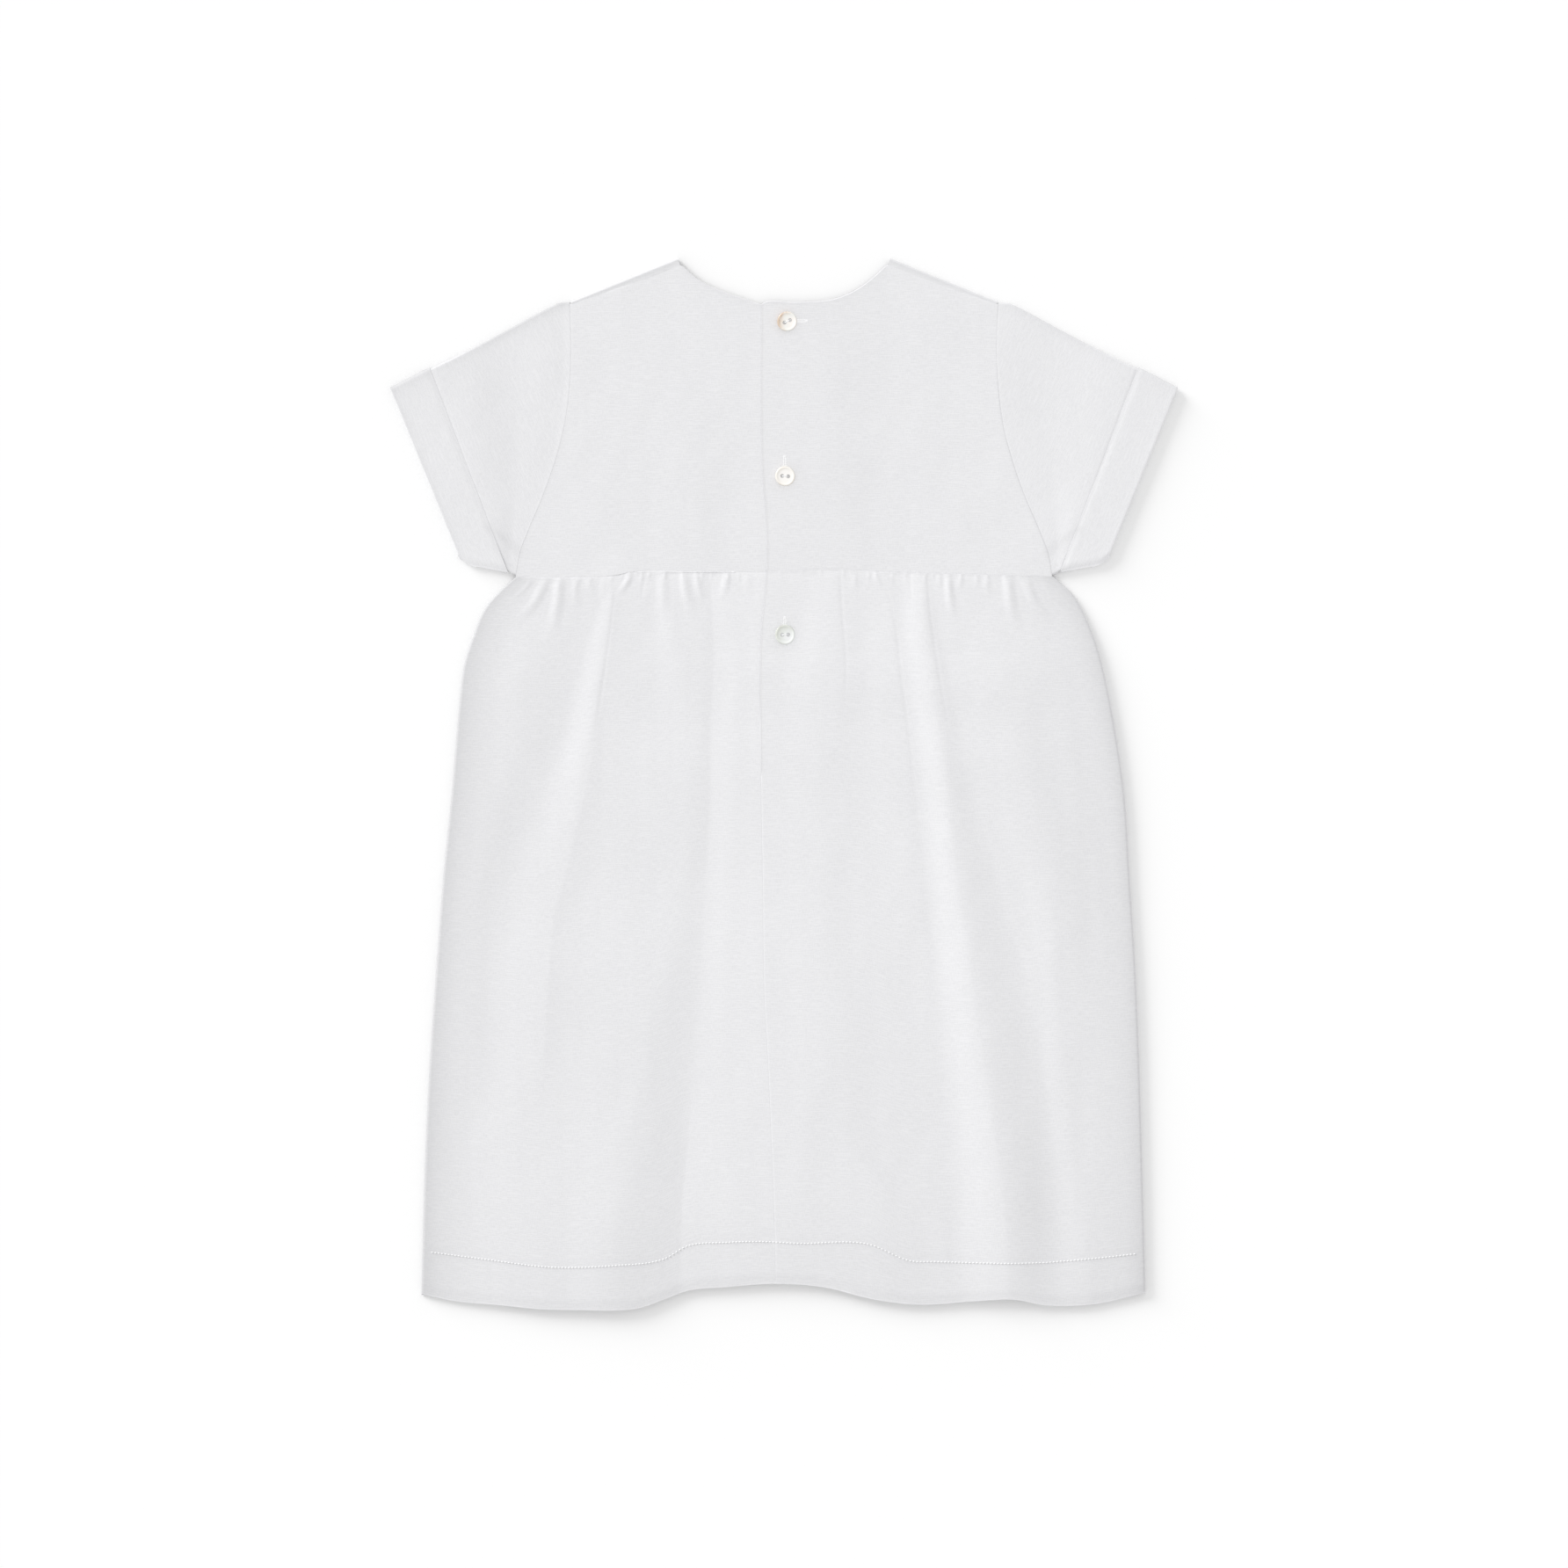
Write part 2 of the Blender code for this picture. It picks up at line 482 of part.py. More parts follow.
# --- Skirt ---------------------------------------------------------------------------------------------------
def skirt_back(collection, side):
    """A back half of the skirt: gathered at the waist, turned down at its side, and open to the lap's end."""
    hand = -1.0 if side == "left" else 1.0
    columns = SKIRT_COLUMNS[side]
    lap_columns = LAP_COLUMNS if side == "left" else 0

    def x_at(column, y):
        """Across the panel at a height: its side, the columns that follow the underlap, and its centre edge."""
        turn = min(column / SIDE_STEPS, 1.0) * math.pi / 2
        side_x = through(SKIRT_SIDE, "y", side, y) - hand * (WALL / 2 + SIDE_TURN * (1.0 - math.cos(turn)))
        centre = centre_back_x(y) + hand * GAP / 2
        if column <= SIDE_STEPS:
            return side_x
        if side == "left":
            return spread(((SIDE_STEPS, side_x), (columns, centre), (columns + lap_columns, UNDERLAP_EDGE)), column)
        return spread(((SIDE_STEPS, side_x), (columns - LAP_COLUMNS - 1, LAP_RUNS_OUT),
                       (columns - LAP_COLUMNS, LAP_HELD), (columns, centre)), column)

    def place(column, row):
        below = at_step(SKIRT_ROWS, row)
        down = below / SKIRT_ROWS[-1]
        seam_y = waist(x_at(column, ARMHOLE[0].y), side) - GAP / 2
        hem_y = through(HEM, "x", "y", x_at(column, HEM[0].y))
        y = mix(seam_y, hem_y, down)
        x = x_at(column, y)
        kept = ease((LAP_EDGE - LAP_CLEARANCE - x) / LAP_CLEARS_OVER) if side == "left" else 1.0
        rise = back_skirt_rise(x, y, below, kept)
        if side == "right":
            rise += lap_rise(x, below)
        turn = min(column / SIDE_STEPS, 1.0) * math.pi / 2
        return (x, y, SECOND + rise - SIDE_TURN * (1.0 - math.sin(turn)))

    def beyond_opening(column, row):
        return column > columns and at_step(SKIRT_ROWS, row) > OPENING_END

    sheet = squares(columns + lap_columns, len(SKIRT_ROWS) - 1, beyond_opening)
    divide_across(sheet, GATHERED_ROWS, SIDE_STEPS, GATHER_CUTS)
    cloth(collection, f"skirt_back_{side}", sheet, place)


def skirt_front(collection):
    """The front of the skirt lies on the surface, with the rest of the dress on it."""
    columns = FRONT_COLUMNS

    def x_at(column, y):
        left = through(SKIRT_SIDE, "y", "left", y) + FRONT_INSET
        right = through(SKIRT_SIDE, "y", "right", y) - FRONT_INSET
        return mix(left, right, column / columns)

    def place(column, row):
        below = at_step(SKIRT_ROWS, row)
        seam_y = front_waist(x_at(column, ARMHOLE[0].y)) - GAP / 2
        hem_y = through(HEM, "x", "y", x_at(column, HEM[0].y)) + FRONT_INSET
        y = mix(seam_y, hem_y, below / SKIRT_ROWS[-1])
        x = x_at(column, y)
        wave = math.sin(math.pi * FRONT_GATHERS * column / columns) ** 2
        rise = FRONT_GATHER_RISE * gather_swell(below) * wave * ease(from_side(x, y) / SIDE_ROLL)
        return (x, y, FIRST + rise)

    sheet = squares(columns, len(SKIRT_ROWS) - 1)
    divide_across(sheet, FRONT_GATHERED_ROWS, 0, FRONT_GATHER_CUTS)
    cloth(collection, "skirt_front", sheet, place, even=False)


# --- Sleeves and cuffs -----------------------------------------------------------------------------------------
def ring_columns(steps):
    return 2 * (len(steps) - 1 + TURN_STEPS)


def ring(steps, column, length, inset, radius):
    """A step round a flattened tube: its share of the way from the armpit edge to the top, and its height."""
    half = ring_columns(steps) / 2
    column = column % (2 * half)
    on_top = column >= half
    step = column - half if on_top else column
    edge = inset / length
    flat_steps = len(steps) - 1
    if step <= flat_steps:
        share = at_step(steps, flat_steps - step if on_top else step)
        return (mix(edge, 1.0 - edge, share), radius if on_top else -radius)
    turn = (step - flat_steps) / TURN_STEPS * math.pi
    share = 1.0 - edge + radius / length * math.sin(turn)
    height = -radius * math.cos(turn)
    return (1.0 - share, -height) if on_top else (share, height)


def along_line(line, share):
    return mix(Vector(line[0]), Vector(line[1]), share)


def armhole_point(share):
    y = mix(ARMPIT[1], SHOULDER_POINT[1], share)
    return Vector((-armhole_x(y) - GAP / 2, y))


def sleeve_plan(share, out):
    """A point of the left sleeve laid flat: 0 to 1 from the armhole to the cuff's free edge, 2 at its outer edge."""
    if out > 1.0:
        return mix(along_line(CUFF_LINE, share), along_line(CUFF_EDGE, share), out - 1.0)
    point = mix(armhole_point(share), along_line(CUFF_LINE, share), out)
    corner = Vector(SLEEVE_HEAD) - mix(armhole_point(1.0), along_line(CUFF_LINE, 1.0), HEAD.out)
    bent = ease((share - HEAD.from_seam) / (1.0 - HEAD.from_seam))
    return point + corner * bent * ease(out / HEAD.out) * (1.0 - ease((out - HEAD.out) / HEAD.fades))


def sleeve(collection, side):
    hand = 1.0 if side == "left" else -1.0
    open_rows, hidden_rows = SLEEVE_ROWS

    def place(column, row):
        out = row / open_rows
        if row > open_rows:
            out = 1.0 + SLEEVE_RUNS_IN * (row - open_rows) / hidden_rows
        in_cuff = ease((out - RISE_STARTS) / (RISE_ENDS - RISE_STARTS))
        length = (sleeve_plan(1.0, out) - sleeve_plan(0.0, out)).length
        inset = FOLD_REACH + (LAYER + GAP) * in_cuff
        share, height = ring(ARMHOLE_STEPS, column, length, inset, FOLD)
        point = sleeve_plan(share, out)
        return (hand * point.x, point.y, FIRST + FOLD + LAYER * in_cuff + height)

    cloth(collection, f"sleeve_{side}", squares(ring_columns(ARMHOLE_STEPS), open_rows + hidden_rows), place)


def cuff(collection, side):
    """The band: its outer layer runs from the free edge to the outer edge, where it folds back inside."""
    hand = 1.0 if side == "left" else -1.0
    outer_rows, inner_rows = CUFF_ROWS
    rows = outer_rows + TURN_STEPS + inner_rows
    width = (along_line(CUFF_EDGE, 0.5) - along_line(CUFF_LINE, 0.5)).length
    turn_at = 1.0 - FOLD_REACH / width

    def place(column, row):
        turned = min(max((row - outer_rows) / TURN_STEPS, 0.0), 1.0) * math.pi
        out = turn_at * min(row / outer_rows, 1.0) + FOLD / width * math.sin(turned)
        if row > outer_rows + TURN_STEPS:
            out = mix(turn_at, 1.0 - CUFF_TURN_IN, row - outer_rows - TURN_STEPS)
        radius = 2 * FOLD + FOLD * math.cos(turned)
        length = (sleeve_plan(1.0, 1.0 + out) - sleeve_plan(0.0, 1.0 + out)).length
        share, height = ring(CUFF_STEPS, column, length, FOLD_REACH + LAYER, radius)
        point = sleeve_plan(share, 1.0 + out)
        return (hand * point.x, point.y, FIRST + FOLD + LAYER + height)

    cloth(collection, f"cuff_{side}", squares(ring_columns(CUFF_STEPS), rows), place)


# --- Buttons ---------------------------------------------------------------------------------------------------
def turned(collection, name, section):
    sheet = bmesh.new()
    points = [sheet.verts.new((ring.radius * MM, 0.0, ring.height * MM)) for ring in section]
    for first, second in zip(points, points[1:]):
        sheet.edges.new((first, second))
    mesh = bpy.data.meshes.new(name)
    sheet.to_mesh(mesh)
    sheet.free()
    piece = bpy.data.objects.new(name, mesh)
    collection.objects.link(piece)
    spin = piece.modifiers.new("turn", "SCREW")
    spin.angle = 2 * math.pi
    spin.steps = spin.render_steps = BUTTON_STEPS
    spin.use_merge_vertices = True
    spin.merge_threshold = 0.01 * MM
    return piece


def hole_cutter(collection, name, x):
    sheet = bmesh.new()
    bmesh.ops.create_cone(sheet, cap_ends=True, segments=HOLE_STEPS, radius1=HOLE_RADIUS * MM,
                          radius2=HOLE_RADIUS * MM, depth=HOLE_DEPTH * MM)
    mesh = bpy.data.meshes.new(name)
    sheet.to_mesh(mesh)
    sheet.free()
    cutter = bpy.data.objects.new(name, mesh)
    cutter.location.x = x * MM
    cutter.hide_render = True
    cutter.display_type = "WIRE"
    collection.objects.link(cutter)
    return cutter


def button(parts, cutters, row):
    """A button on the right back, over the underlap that it is sewn to."""
    piece = turned(parts, row.name, BUTTON_SECTION)
    piece.data.materials.append(material(f"{row.name}_pearl", PEARL, 0.25))
    below = max(waist(row.x, "right") - row.y, 0.0)
    rise = back_skirt_rise(row.x, row.y, below, 1.0) if below > 0.0 else 0.0
    lean = BUTTON_RADIUS * math.sin(math.radians(row.tilt))
    height = SECOND + rise + lap_rise(row.x, below) + WALL / 2 + GAP + lean
    piece.location = Vector((row.x, row.y, height)) * MM
    piece.rotation_euler = (0.0, math.radians(row.tilt), math.radians(row.turn))
    for hand in (-1.0, 1.0):
        cutter = hole_cutter(cutters, f"{row.name}_hole_{'left' if hand < 0 else 'right'}",
                             hand * HOLE_SPACING / 2)
        cutter.parent = piece
        cut = piece.modifiers.new("hole", "BOOLEAN")
        cut.object = cutter
        cut.operation = "DIFFERENCE"


def main():
    for old in list(bpy.data.objects):
        bpy.data.objects.remove(old)
    parts = bpy.data.collections.new("toddler_dress")
    cutters = bpy.data.collections.new("cutters")
    bpy.context.scene.collection.children.link(parts)
    bpy.context.scene.collection.children.link(cutters)
    bodice_front(parts)
    skirt_front(parts)
    for side in ("left", "right"):
        bodice_back(parts, side)
        skirt_back(parts, side)
        sleeve(parts, side)
        cuff(parts, side)
    for row in BUTTONS:
        button(parts, cutters, row)


main()
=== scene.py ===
"""The looks of a white linen toddler dress, laid flat with its back up.

The cloth is modelled by its outer side, the one that shows, and its wall goes inwards from there. Sizes
are in millimetres until a mesh is made. X runs to the right across the back, Y to the neck and Z up.
"""

import math
from collections import namedtuple
from functools import cache

import bmesh
import bpy
import numpy as np
from mathutils import Matrix, Vector


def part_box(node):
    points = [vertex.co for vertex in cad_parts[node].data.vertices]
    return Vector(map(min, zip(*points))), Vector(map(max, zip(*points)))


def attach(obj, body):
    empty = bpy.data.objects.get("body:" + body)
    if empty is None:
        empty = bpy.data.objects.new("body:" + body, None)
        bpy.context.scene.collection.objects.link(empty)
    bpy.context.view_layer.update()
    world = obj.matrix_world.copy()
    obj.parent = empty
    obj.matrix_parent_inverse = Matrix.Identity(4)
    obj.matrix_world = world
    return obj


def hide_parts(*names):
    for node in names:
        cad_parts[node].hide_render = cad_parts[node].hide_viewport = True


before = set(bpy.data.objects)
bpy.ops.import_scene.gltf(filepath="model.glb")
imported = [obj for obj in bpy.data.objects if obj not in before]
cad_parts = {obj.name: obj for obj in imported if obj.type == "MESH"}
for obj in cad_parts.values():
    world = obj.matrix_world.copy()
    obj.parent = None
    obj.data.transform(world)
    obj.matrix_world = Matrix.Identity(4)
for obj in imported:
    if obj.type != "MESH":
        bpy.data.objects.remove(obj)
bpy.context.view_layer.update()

MM = 0.001
HAND = {"left": -1.0, "right": 1.0}


def table(kind, *rows):
    """Rows of one kind, each from its bare values."""
    return tuple(kind(*row) for row in rows)


# --- Layers ------------------------------------------------------------------
CLOTH = 0.5  # thickness of the cloth that shows, folded edges included
FOLD_RADIUS = 1.15  # outside of a fold that lies flat
BACK_TOP = 2.3  # height of the back where it lies flat on the front

# --- Edges -------------------------------------------------------------------
EDGE_STOPS = (0.0, 0.03, 0.09, 0.18, 0.29, 0.42, 0.7)  # places of points beside a shaped edge
TURN_STEPS = 8  # faces round half a turn
FOLD_ROUND = 0.4  # radius of a folded edge
SEAM_WIDTH = 0.6  # the cloth dips into a seam over this width
SEAM_DEPTH = 0.05
SEAM_GAP = 0.004  # half of the gap between pieces that are sewn together
ONE_POINT = 0.002  # points closer than this are one
SHARP_CLOTH, SHARP_SHELL = 55.0, 40.0  # edges with more degrees between their faces look sharp

# Painted shade where the cloth turns round a fold at the outline, and the runs over which it fades
EDGE_RUN, EDGE_WIDE_RUN, EDGE_WIDE_SHARE = 1.0, 4.5, 0.2
LAP_SHADE, LAP_SHADE_WIDTH = 0.24, 0.5  # painted shade at a free edge that lies on other cloth
CENTRE_SEAM_LIGHTER, CENTRE_SEAM_WIDTH = 0.02, 0.9

# --- Bodice ------------------------------------------------------------------
BODICE_STEP = 1.3  # between the points of a back half
LAP_EDGE = -11.4
UNDERLAP_EDGE = 12.0
LAP_LIFT = 0.6  # what the underlap lifts the overlap by
LAP_HELD = 6.0  # from here to the right the overlap comes down over a long run
LAP_RUNS_OUT = 62.0
SHOULDER_TIP = (53.4, 263.3)
SHOULDER_POINT = (107.2, 241.6)
SHOULDER_LEANS = 0.3  # how much further in the shoulder seam starts at the neck
UNDERLAP_DROP = 0.6
SHOULDER_SHARE = {"left": 6 / 13, "right": 5 / 13}  # of each back's width, under its shoulder
WAIST_BELOW_NECK = 68.0
BODICE_SWELL = 0.35  # a soft swell at the back's left, over the layers of the waist seam
BODICE_SWELL_X, BODICE_SWELL_Y, BODICE_SWELL_WIDTH = -83.0, 104.0, 9.0
# painted shade at the folded neckline of the back
NECK_SHADE = 0.05

Place = namedtuple("Place", "x y")
WAIST = {
    "left": table(Place, (-134.3, 103.6), (-94.2, 103.6), (-84.0, 104.5), (-76.0, 106.2), (-44.0, 106.3),
        (-10.6, 105.8), (12.0, 105.8)),
    "right": table(Place, (-11.4, 107.1), (28.2, 107.6), (49.7, 106.3), (80.1, 105.4), (134.5, 103.9))}
NECK = {
    "left": table(Place, (-51.7, 260.6), (-41.8, 252.3), (-29.9, 246.6), (-19.8, 243.1), (-11.9, 240.3)),
    "right": table(Place, (-11.4, 240.2), (-8.5, 241.7), (3.1, 241.3), (17.2, 241.8), (24.2, 242.7),
        (34.3, 246.6), (42.7, 252.3), (51.7, 260.6))}

Armhole = namedtuple("Armhole", "y half_width")
ARMHOLE = table(Armhole, (103.6, 134.4), (115.5, 132.4), (127.0, 128.0), (142.0, 121.6), (158.0, 115.7),
    (178.0, 110.2), (195.0, 107.6), (218.0, 106.5), (241.6, 107.2))
ARMHOLE_SHADE = 0.10  # painted shade on the back in the lower part of the armhole's seam
ARMHOLE_SHADE_WIDTH = 0.6
ARMHOLE_SHADE_TOP, ARMHOLE_SHADE_FADES = 215.0, 60.0
WELT = 0.03  # height of the ridge that the armhole's turnings raise beside their seam
WELT_WIDTH = 1.1
# Painted highlight on the sleeve's ridge beside the armhole's seam, on the left only, and painted shade in
# the seam
WELT_LIGHTER, WELT_LIGHT_WIDTH = {"left": 0.05, "right": 0.0}, 0.8
WELT_SEAM_SHADE, WELT_SEAM_WIDTH = 0.02, 0.4

# The front bodice: its waist and neckline, and the band of it that lies on the back past the shoulder fold
FRONT_WAIST_CURVE = 1.2
FRONT_NECK_DEPTH = 52.0
FRONT_STEP = 2.0
FRONT_SHOULDER_SHARE = 0.25  # of the front's points, across each shoulder
FRONT_SHOULDER_LENGTH, FRONT_LENGTH = 70.0, 150.0
FRONT_NECK_STEPS = 60
Band = namedtuple("Band", "from_neck width")
SHOULDER_BAND = table(Band, (0.0, 3.6), (0.5, 3.1), (1.0, 1.3))
SHOULDER_BAND_STEPS = 3
# Painted shade on the front's shoulder fold, more on the left, and on the band past it
SHOULDER_FOLD_PAINTED_SHADE, SHOULDER_BAND_PAINTED_SHADE = {"left": 0.84, "right": 0.91}, 0.97
PAST_SHOULDER = 1.001  # in shoulder lengths from the armhole, the neckline starts here

# --- Sleeves and cuffs: the left ones, mirrored for the right ----------------
SLEEVE_HEAD = (-113.5, 240.6)
ARMPIT_Y = 104.6
CUFF_LINE = ((-138.2, 106.0), (-177.4, 208.9))
CUFF_EDGE = ((-161.1, 110.2), (-197.3, 198.6))
CUFF_WIDTH = 23.0
CUFF_TURN_IN = 0.3
CUFF_LIFT = 0.8  # the cuff's layer under the sleeve raises the sleeve by this
CUFF_HALF = 1.75  # half of the height of the cuff
CUFF_FOLD = 0.85  # half of the height of the fold at its outer edge
CUFF_FOLD_OUT = 0.45  # how far that fold goes out
CUFF_PRESS = 0.25  # how much the cuff's free edge is pressed down
CUFF_PRESS_RUN = 3.0
CUFF_ROUND = 4.5  # how far in the cuff starts to round down at its lower end
CUFF_CORNER = 5.0  # radius of its outer lower corner
CUFF_RIPPLES, CUFF_RIPPLES_CLOSER, CUFF_RIPPLES_START = 0.7, (1.2, 1.1), 0.1
# Painted shade on the cuffs' and sleeves' edges, and painted light where a value is below 0
FREE_EDGE_SHADE = {"left": -0.04, "right": 0.22}
OUTER_EDGE_SHADE = {"left": 0.12, "right": -0.08}
TOP_EDGE_SHADE = {"left": 0.34, "right": 0.13}
LOW_EDGE_SHADE = -0.25
UNDER_CUFF, UNDER_CUFF_RUN = 0.35, 0.03  # how much thinner the sleeve is pressed inside the cuff
SLEEVE_SEAM = 45.0  # length of the sleeve's lower edge, outside the cuff
SLEEVE_STEP = 1.2
SLEEVE_FLATS = 84  # faces along each side of a flattened tube
SLEEVE_RUNS_IN = 0.68  # how far inside the cuff the sleeve goes on, as a share of the cuff's width
SLEEVE_INSIDE = (0.01, 0.04, 0.3, 0.65, 1.0)  # shares of that where it has points
SLEEVE_CLEARS = 0.2  # its edges inside the cuff are this much further in
Head = namedtuple("Head", "from_seam out fades")
HEAD = Head(0.6, 0.1, 0.5)
RISE_STARTS, RISE_ENDS = 0.45, 0.95
FLAT_END = 26.0  # over this share in a hundred from the armpit, the sleeve hardly rises to the cuff
FLAT_END_KEEPS = 0.85

# Stretches of painted shade along which the sleeves and the back of the bodice are a little darker
Soft_band = namedtuple("Soft_band", "start end width shade")
PAINTED_SHADE_BANDS = table(Soft_band, ((-148.0, 198.0), (-141.0, 162.0), 11.0, 0.016),
    ((-113.0, 211.0), (-122.0, 165.0), 6.0, 0.014), ((-148.5, 129.0), (-133.0, 117.0), 2.4, 0.05),
    ((-118.0, 234.0), (-112.0, 220.0), 1.6, 0.02), ((116.0, 218.0), (119.0, 186.0), 7.0, 0.014),
    ((151.0, 194.0), (142.0, 160.0), 9.0, 0.014), ((147.5, 127.5), (132.5, 116.5), 2.4, 0.05),
    ((-36.5, 181.0), (-36.5, 106.0), 9.0, 0.012), ((-75.0, 120.0), (-72.0, 108.0), 7.0, 0.01),
    ((37.0, 160.0), (36.0, 127.0), 8.0, 0.012), ((42.0, 214.0), (34.0, 196.0), 9.0, 0.01))

# --- Skirt -------------------------------------------------------------------
Side = namedtuple("Side", "y left right")
SKIRT_SIDE = table(Side, (103.7, -134.4, 135.0), (96.6, -142.2, 143.2), (88.7, -149.2, 148.5),
    (73.3, -155.9, 155.2), (60.1, -160.1, 159.2), (40.3, -162.6, 163.5), (-3.7, -166.4, 170.3),
    (-47.7, -170.8, 173.2), (-91.7, -174.1, 176.0), (-135.7, -177.2, 177.8), (-188.5, -179.8, 179.4),
    (-255.0, -181.6, 181.1))
HEM = table(Place, (-181.3, -255.4), (-165.4, -258.9), (-140.8, -261.1), (-121.0, -263.0),
    (-103.8, -263.3), (-73.0, -262.4), (-60.3, -258.1), (-48.0, -253.7), (-29.5, -251.9), (-4.8, -250.2),
    (19.8, -251.9), (45.3, -258.1), (67.8, -260.7), (95.9, -258.9), (115.7, -258.1), (131.1, -261.0),
    (156.2, -260.3), (181.1, -254.6))
HEM_SEAM = table(Place, (-181.3, -233.9), (-147.0, -238.3), (-116.2, -241.8), (-85.4, -240.9),
    (-60.3, -237.8), (-48.0, -231.2), (-29.5, -229.5), (-11.0, -229.0), (7.5, -229.9), (42.7, -230.3),
    (62.9, -238.5), (75.7, -239.1), (128.5, -239.6), (152.7, -237.8), (181.1, -234.7))
CENTRE_BACK = table(Place, (-4.0, -255.0), (-4.6, -223.7), (-8.4, -131.0), (-9.7, -109.0), (-10.6, -47.7),
    (-11.4, -0.7), (-11.4, 76.0), (-8.8, 105.0), (-8.8, 128.0), (-10.6, 152.0), (-11.4, 172.0),
    (-11.4, 242.0))
OPENING_END = 104.0
LAP_ENDS = (60.0, 108.0)  # between these distances from the waist, the lap comes down into the seam
LAP_CLEARANCE = 2.0
LAP_CLEARS_OVER = 3.0
UNDERLAP_SINKS_OVER = 0.1  # of the underlap's width
UNDERLAP_STEPS = 11
SKIRT_LENGTH = 359.0
PANEL_WIDTH = 165.0
TOP_PART = 60.0  # down to here from the waist the points are closer together
PANEL_STEP, TOP_STEP, LOW_STEP = 0.70, 0.9, 2.9

HEM_DEPTH = 21.5
HEM_GROOVE = 0.10  # depth of the line that the hem's stitches pull into the cloth
HEM_GROOVE_WIDTH = 1.3
HEM_DROOP = 0.15  # the share of its height that the back loses towards the hem
HEM_DROOP_RUN = 58.0
HEM_LOWEST, HEM_LOWEST_SOFT = 1.2, 0.4
HEM_SINKS, HEM_SINK_RUN = 0.6, 4.0  # how far the last few millimetres come down
SIDE_ROLL = 28.0
SIDE_LIFT = {"left": 0.7, "right": 1.2}  # how much higher than the flat cloth the sides stand
SIDE_LIFT_RUN = 45.0
SIDE_FOLD_WIDTH = 0.8  # the back turns down round the side and ends under it
FRONT_INSET = 0.5
FRONT_GATHERS = 33
FRONT_GATHERS_DRIFT, FRONT_GATHERS_WAVES = 1.2, 9.0  # how uneven they are
FRONT_GATHER_RISE = 0.6
GATHER_FULL = 2.5  # how far below the seam the front's gathers reach their height
FRONT_GATHER_REACH = 26.0
FRONT_GATHER_FADES = 8.0
FRONT_SKIRT_STEP, FRONT_TOP_PART, FRONT_TOP_STEP, FRONT_LOW_STEP = 1.7, 30.0, 1.5, 4.0

# Painted shade and painted light on the skirt: how much darker or lighter it is, and the runs over which
# that fades
SIDE_SHADE, SIDE_SHADE_RUN = {"left": 0.17, "right": 0.15}, 8.5
WIDE_SIDE_SHADE, WIDE_SIDE_RUN = {"left": 0.0, "right": 0.025}, 25.5
FOLD_LIGHTER = {"left": -0.25, "right": 0.20}  # of the fold at the side: painted shade on the left, painted light on the right
SEAM_TONE, SEAM_TONE_RUN = {"left": 0.03, "right": -0.06}, 0.7  # right under the waist seam: painted light on the left, painted shade on the right
# Painted light at the hem's folded edge and beside the lap on the left back, and painted shade below the
# hem's stitches
HEM_EDGE_LIGHTER, HEM_EDGE_WIDTH = 0.24, 0.5
LOWER_SHADE, LOWER_FROM, LOWER_RUN = 0.03, 175.0, 160.0  # painted shade over the lower half of the skirt
HEM_SHADE, HEM_SHADE_BEFORE, HEM_SHADE_RUN = 0.012, 6.0, 8.0  # painted shade over the band of the hem
HEM_LINE_SHADE, HEM_LINE_BELOW, HEM_LINE_WIDTH = 0.015, 0.9, 0.7
HEM_MARK, HEM_MARK_WIDTH, HEM_MARK_HEIGHT = 0.05, 1.6, 2.6  # where the centre seam meets the hem
BESIDE_LAP, BESIDE_LAP_AT, BESIDE_LAP_WIDTH = 0.012, 3.0, 3.0
FAR = 9.0  # taken as the distance from the centre over all of the underlap

# Where the skirt's weave is: half of its flat width, which is narrower at the waist than at the hem
WEAVE_HALF, WEAVE_TOP, WEAVE_LOW, WEAVE_ROUND_SIDE = 178.0, 0.92, 1.04, 0.5
FRONT_WEAVE_HALF = 200.0

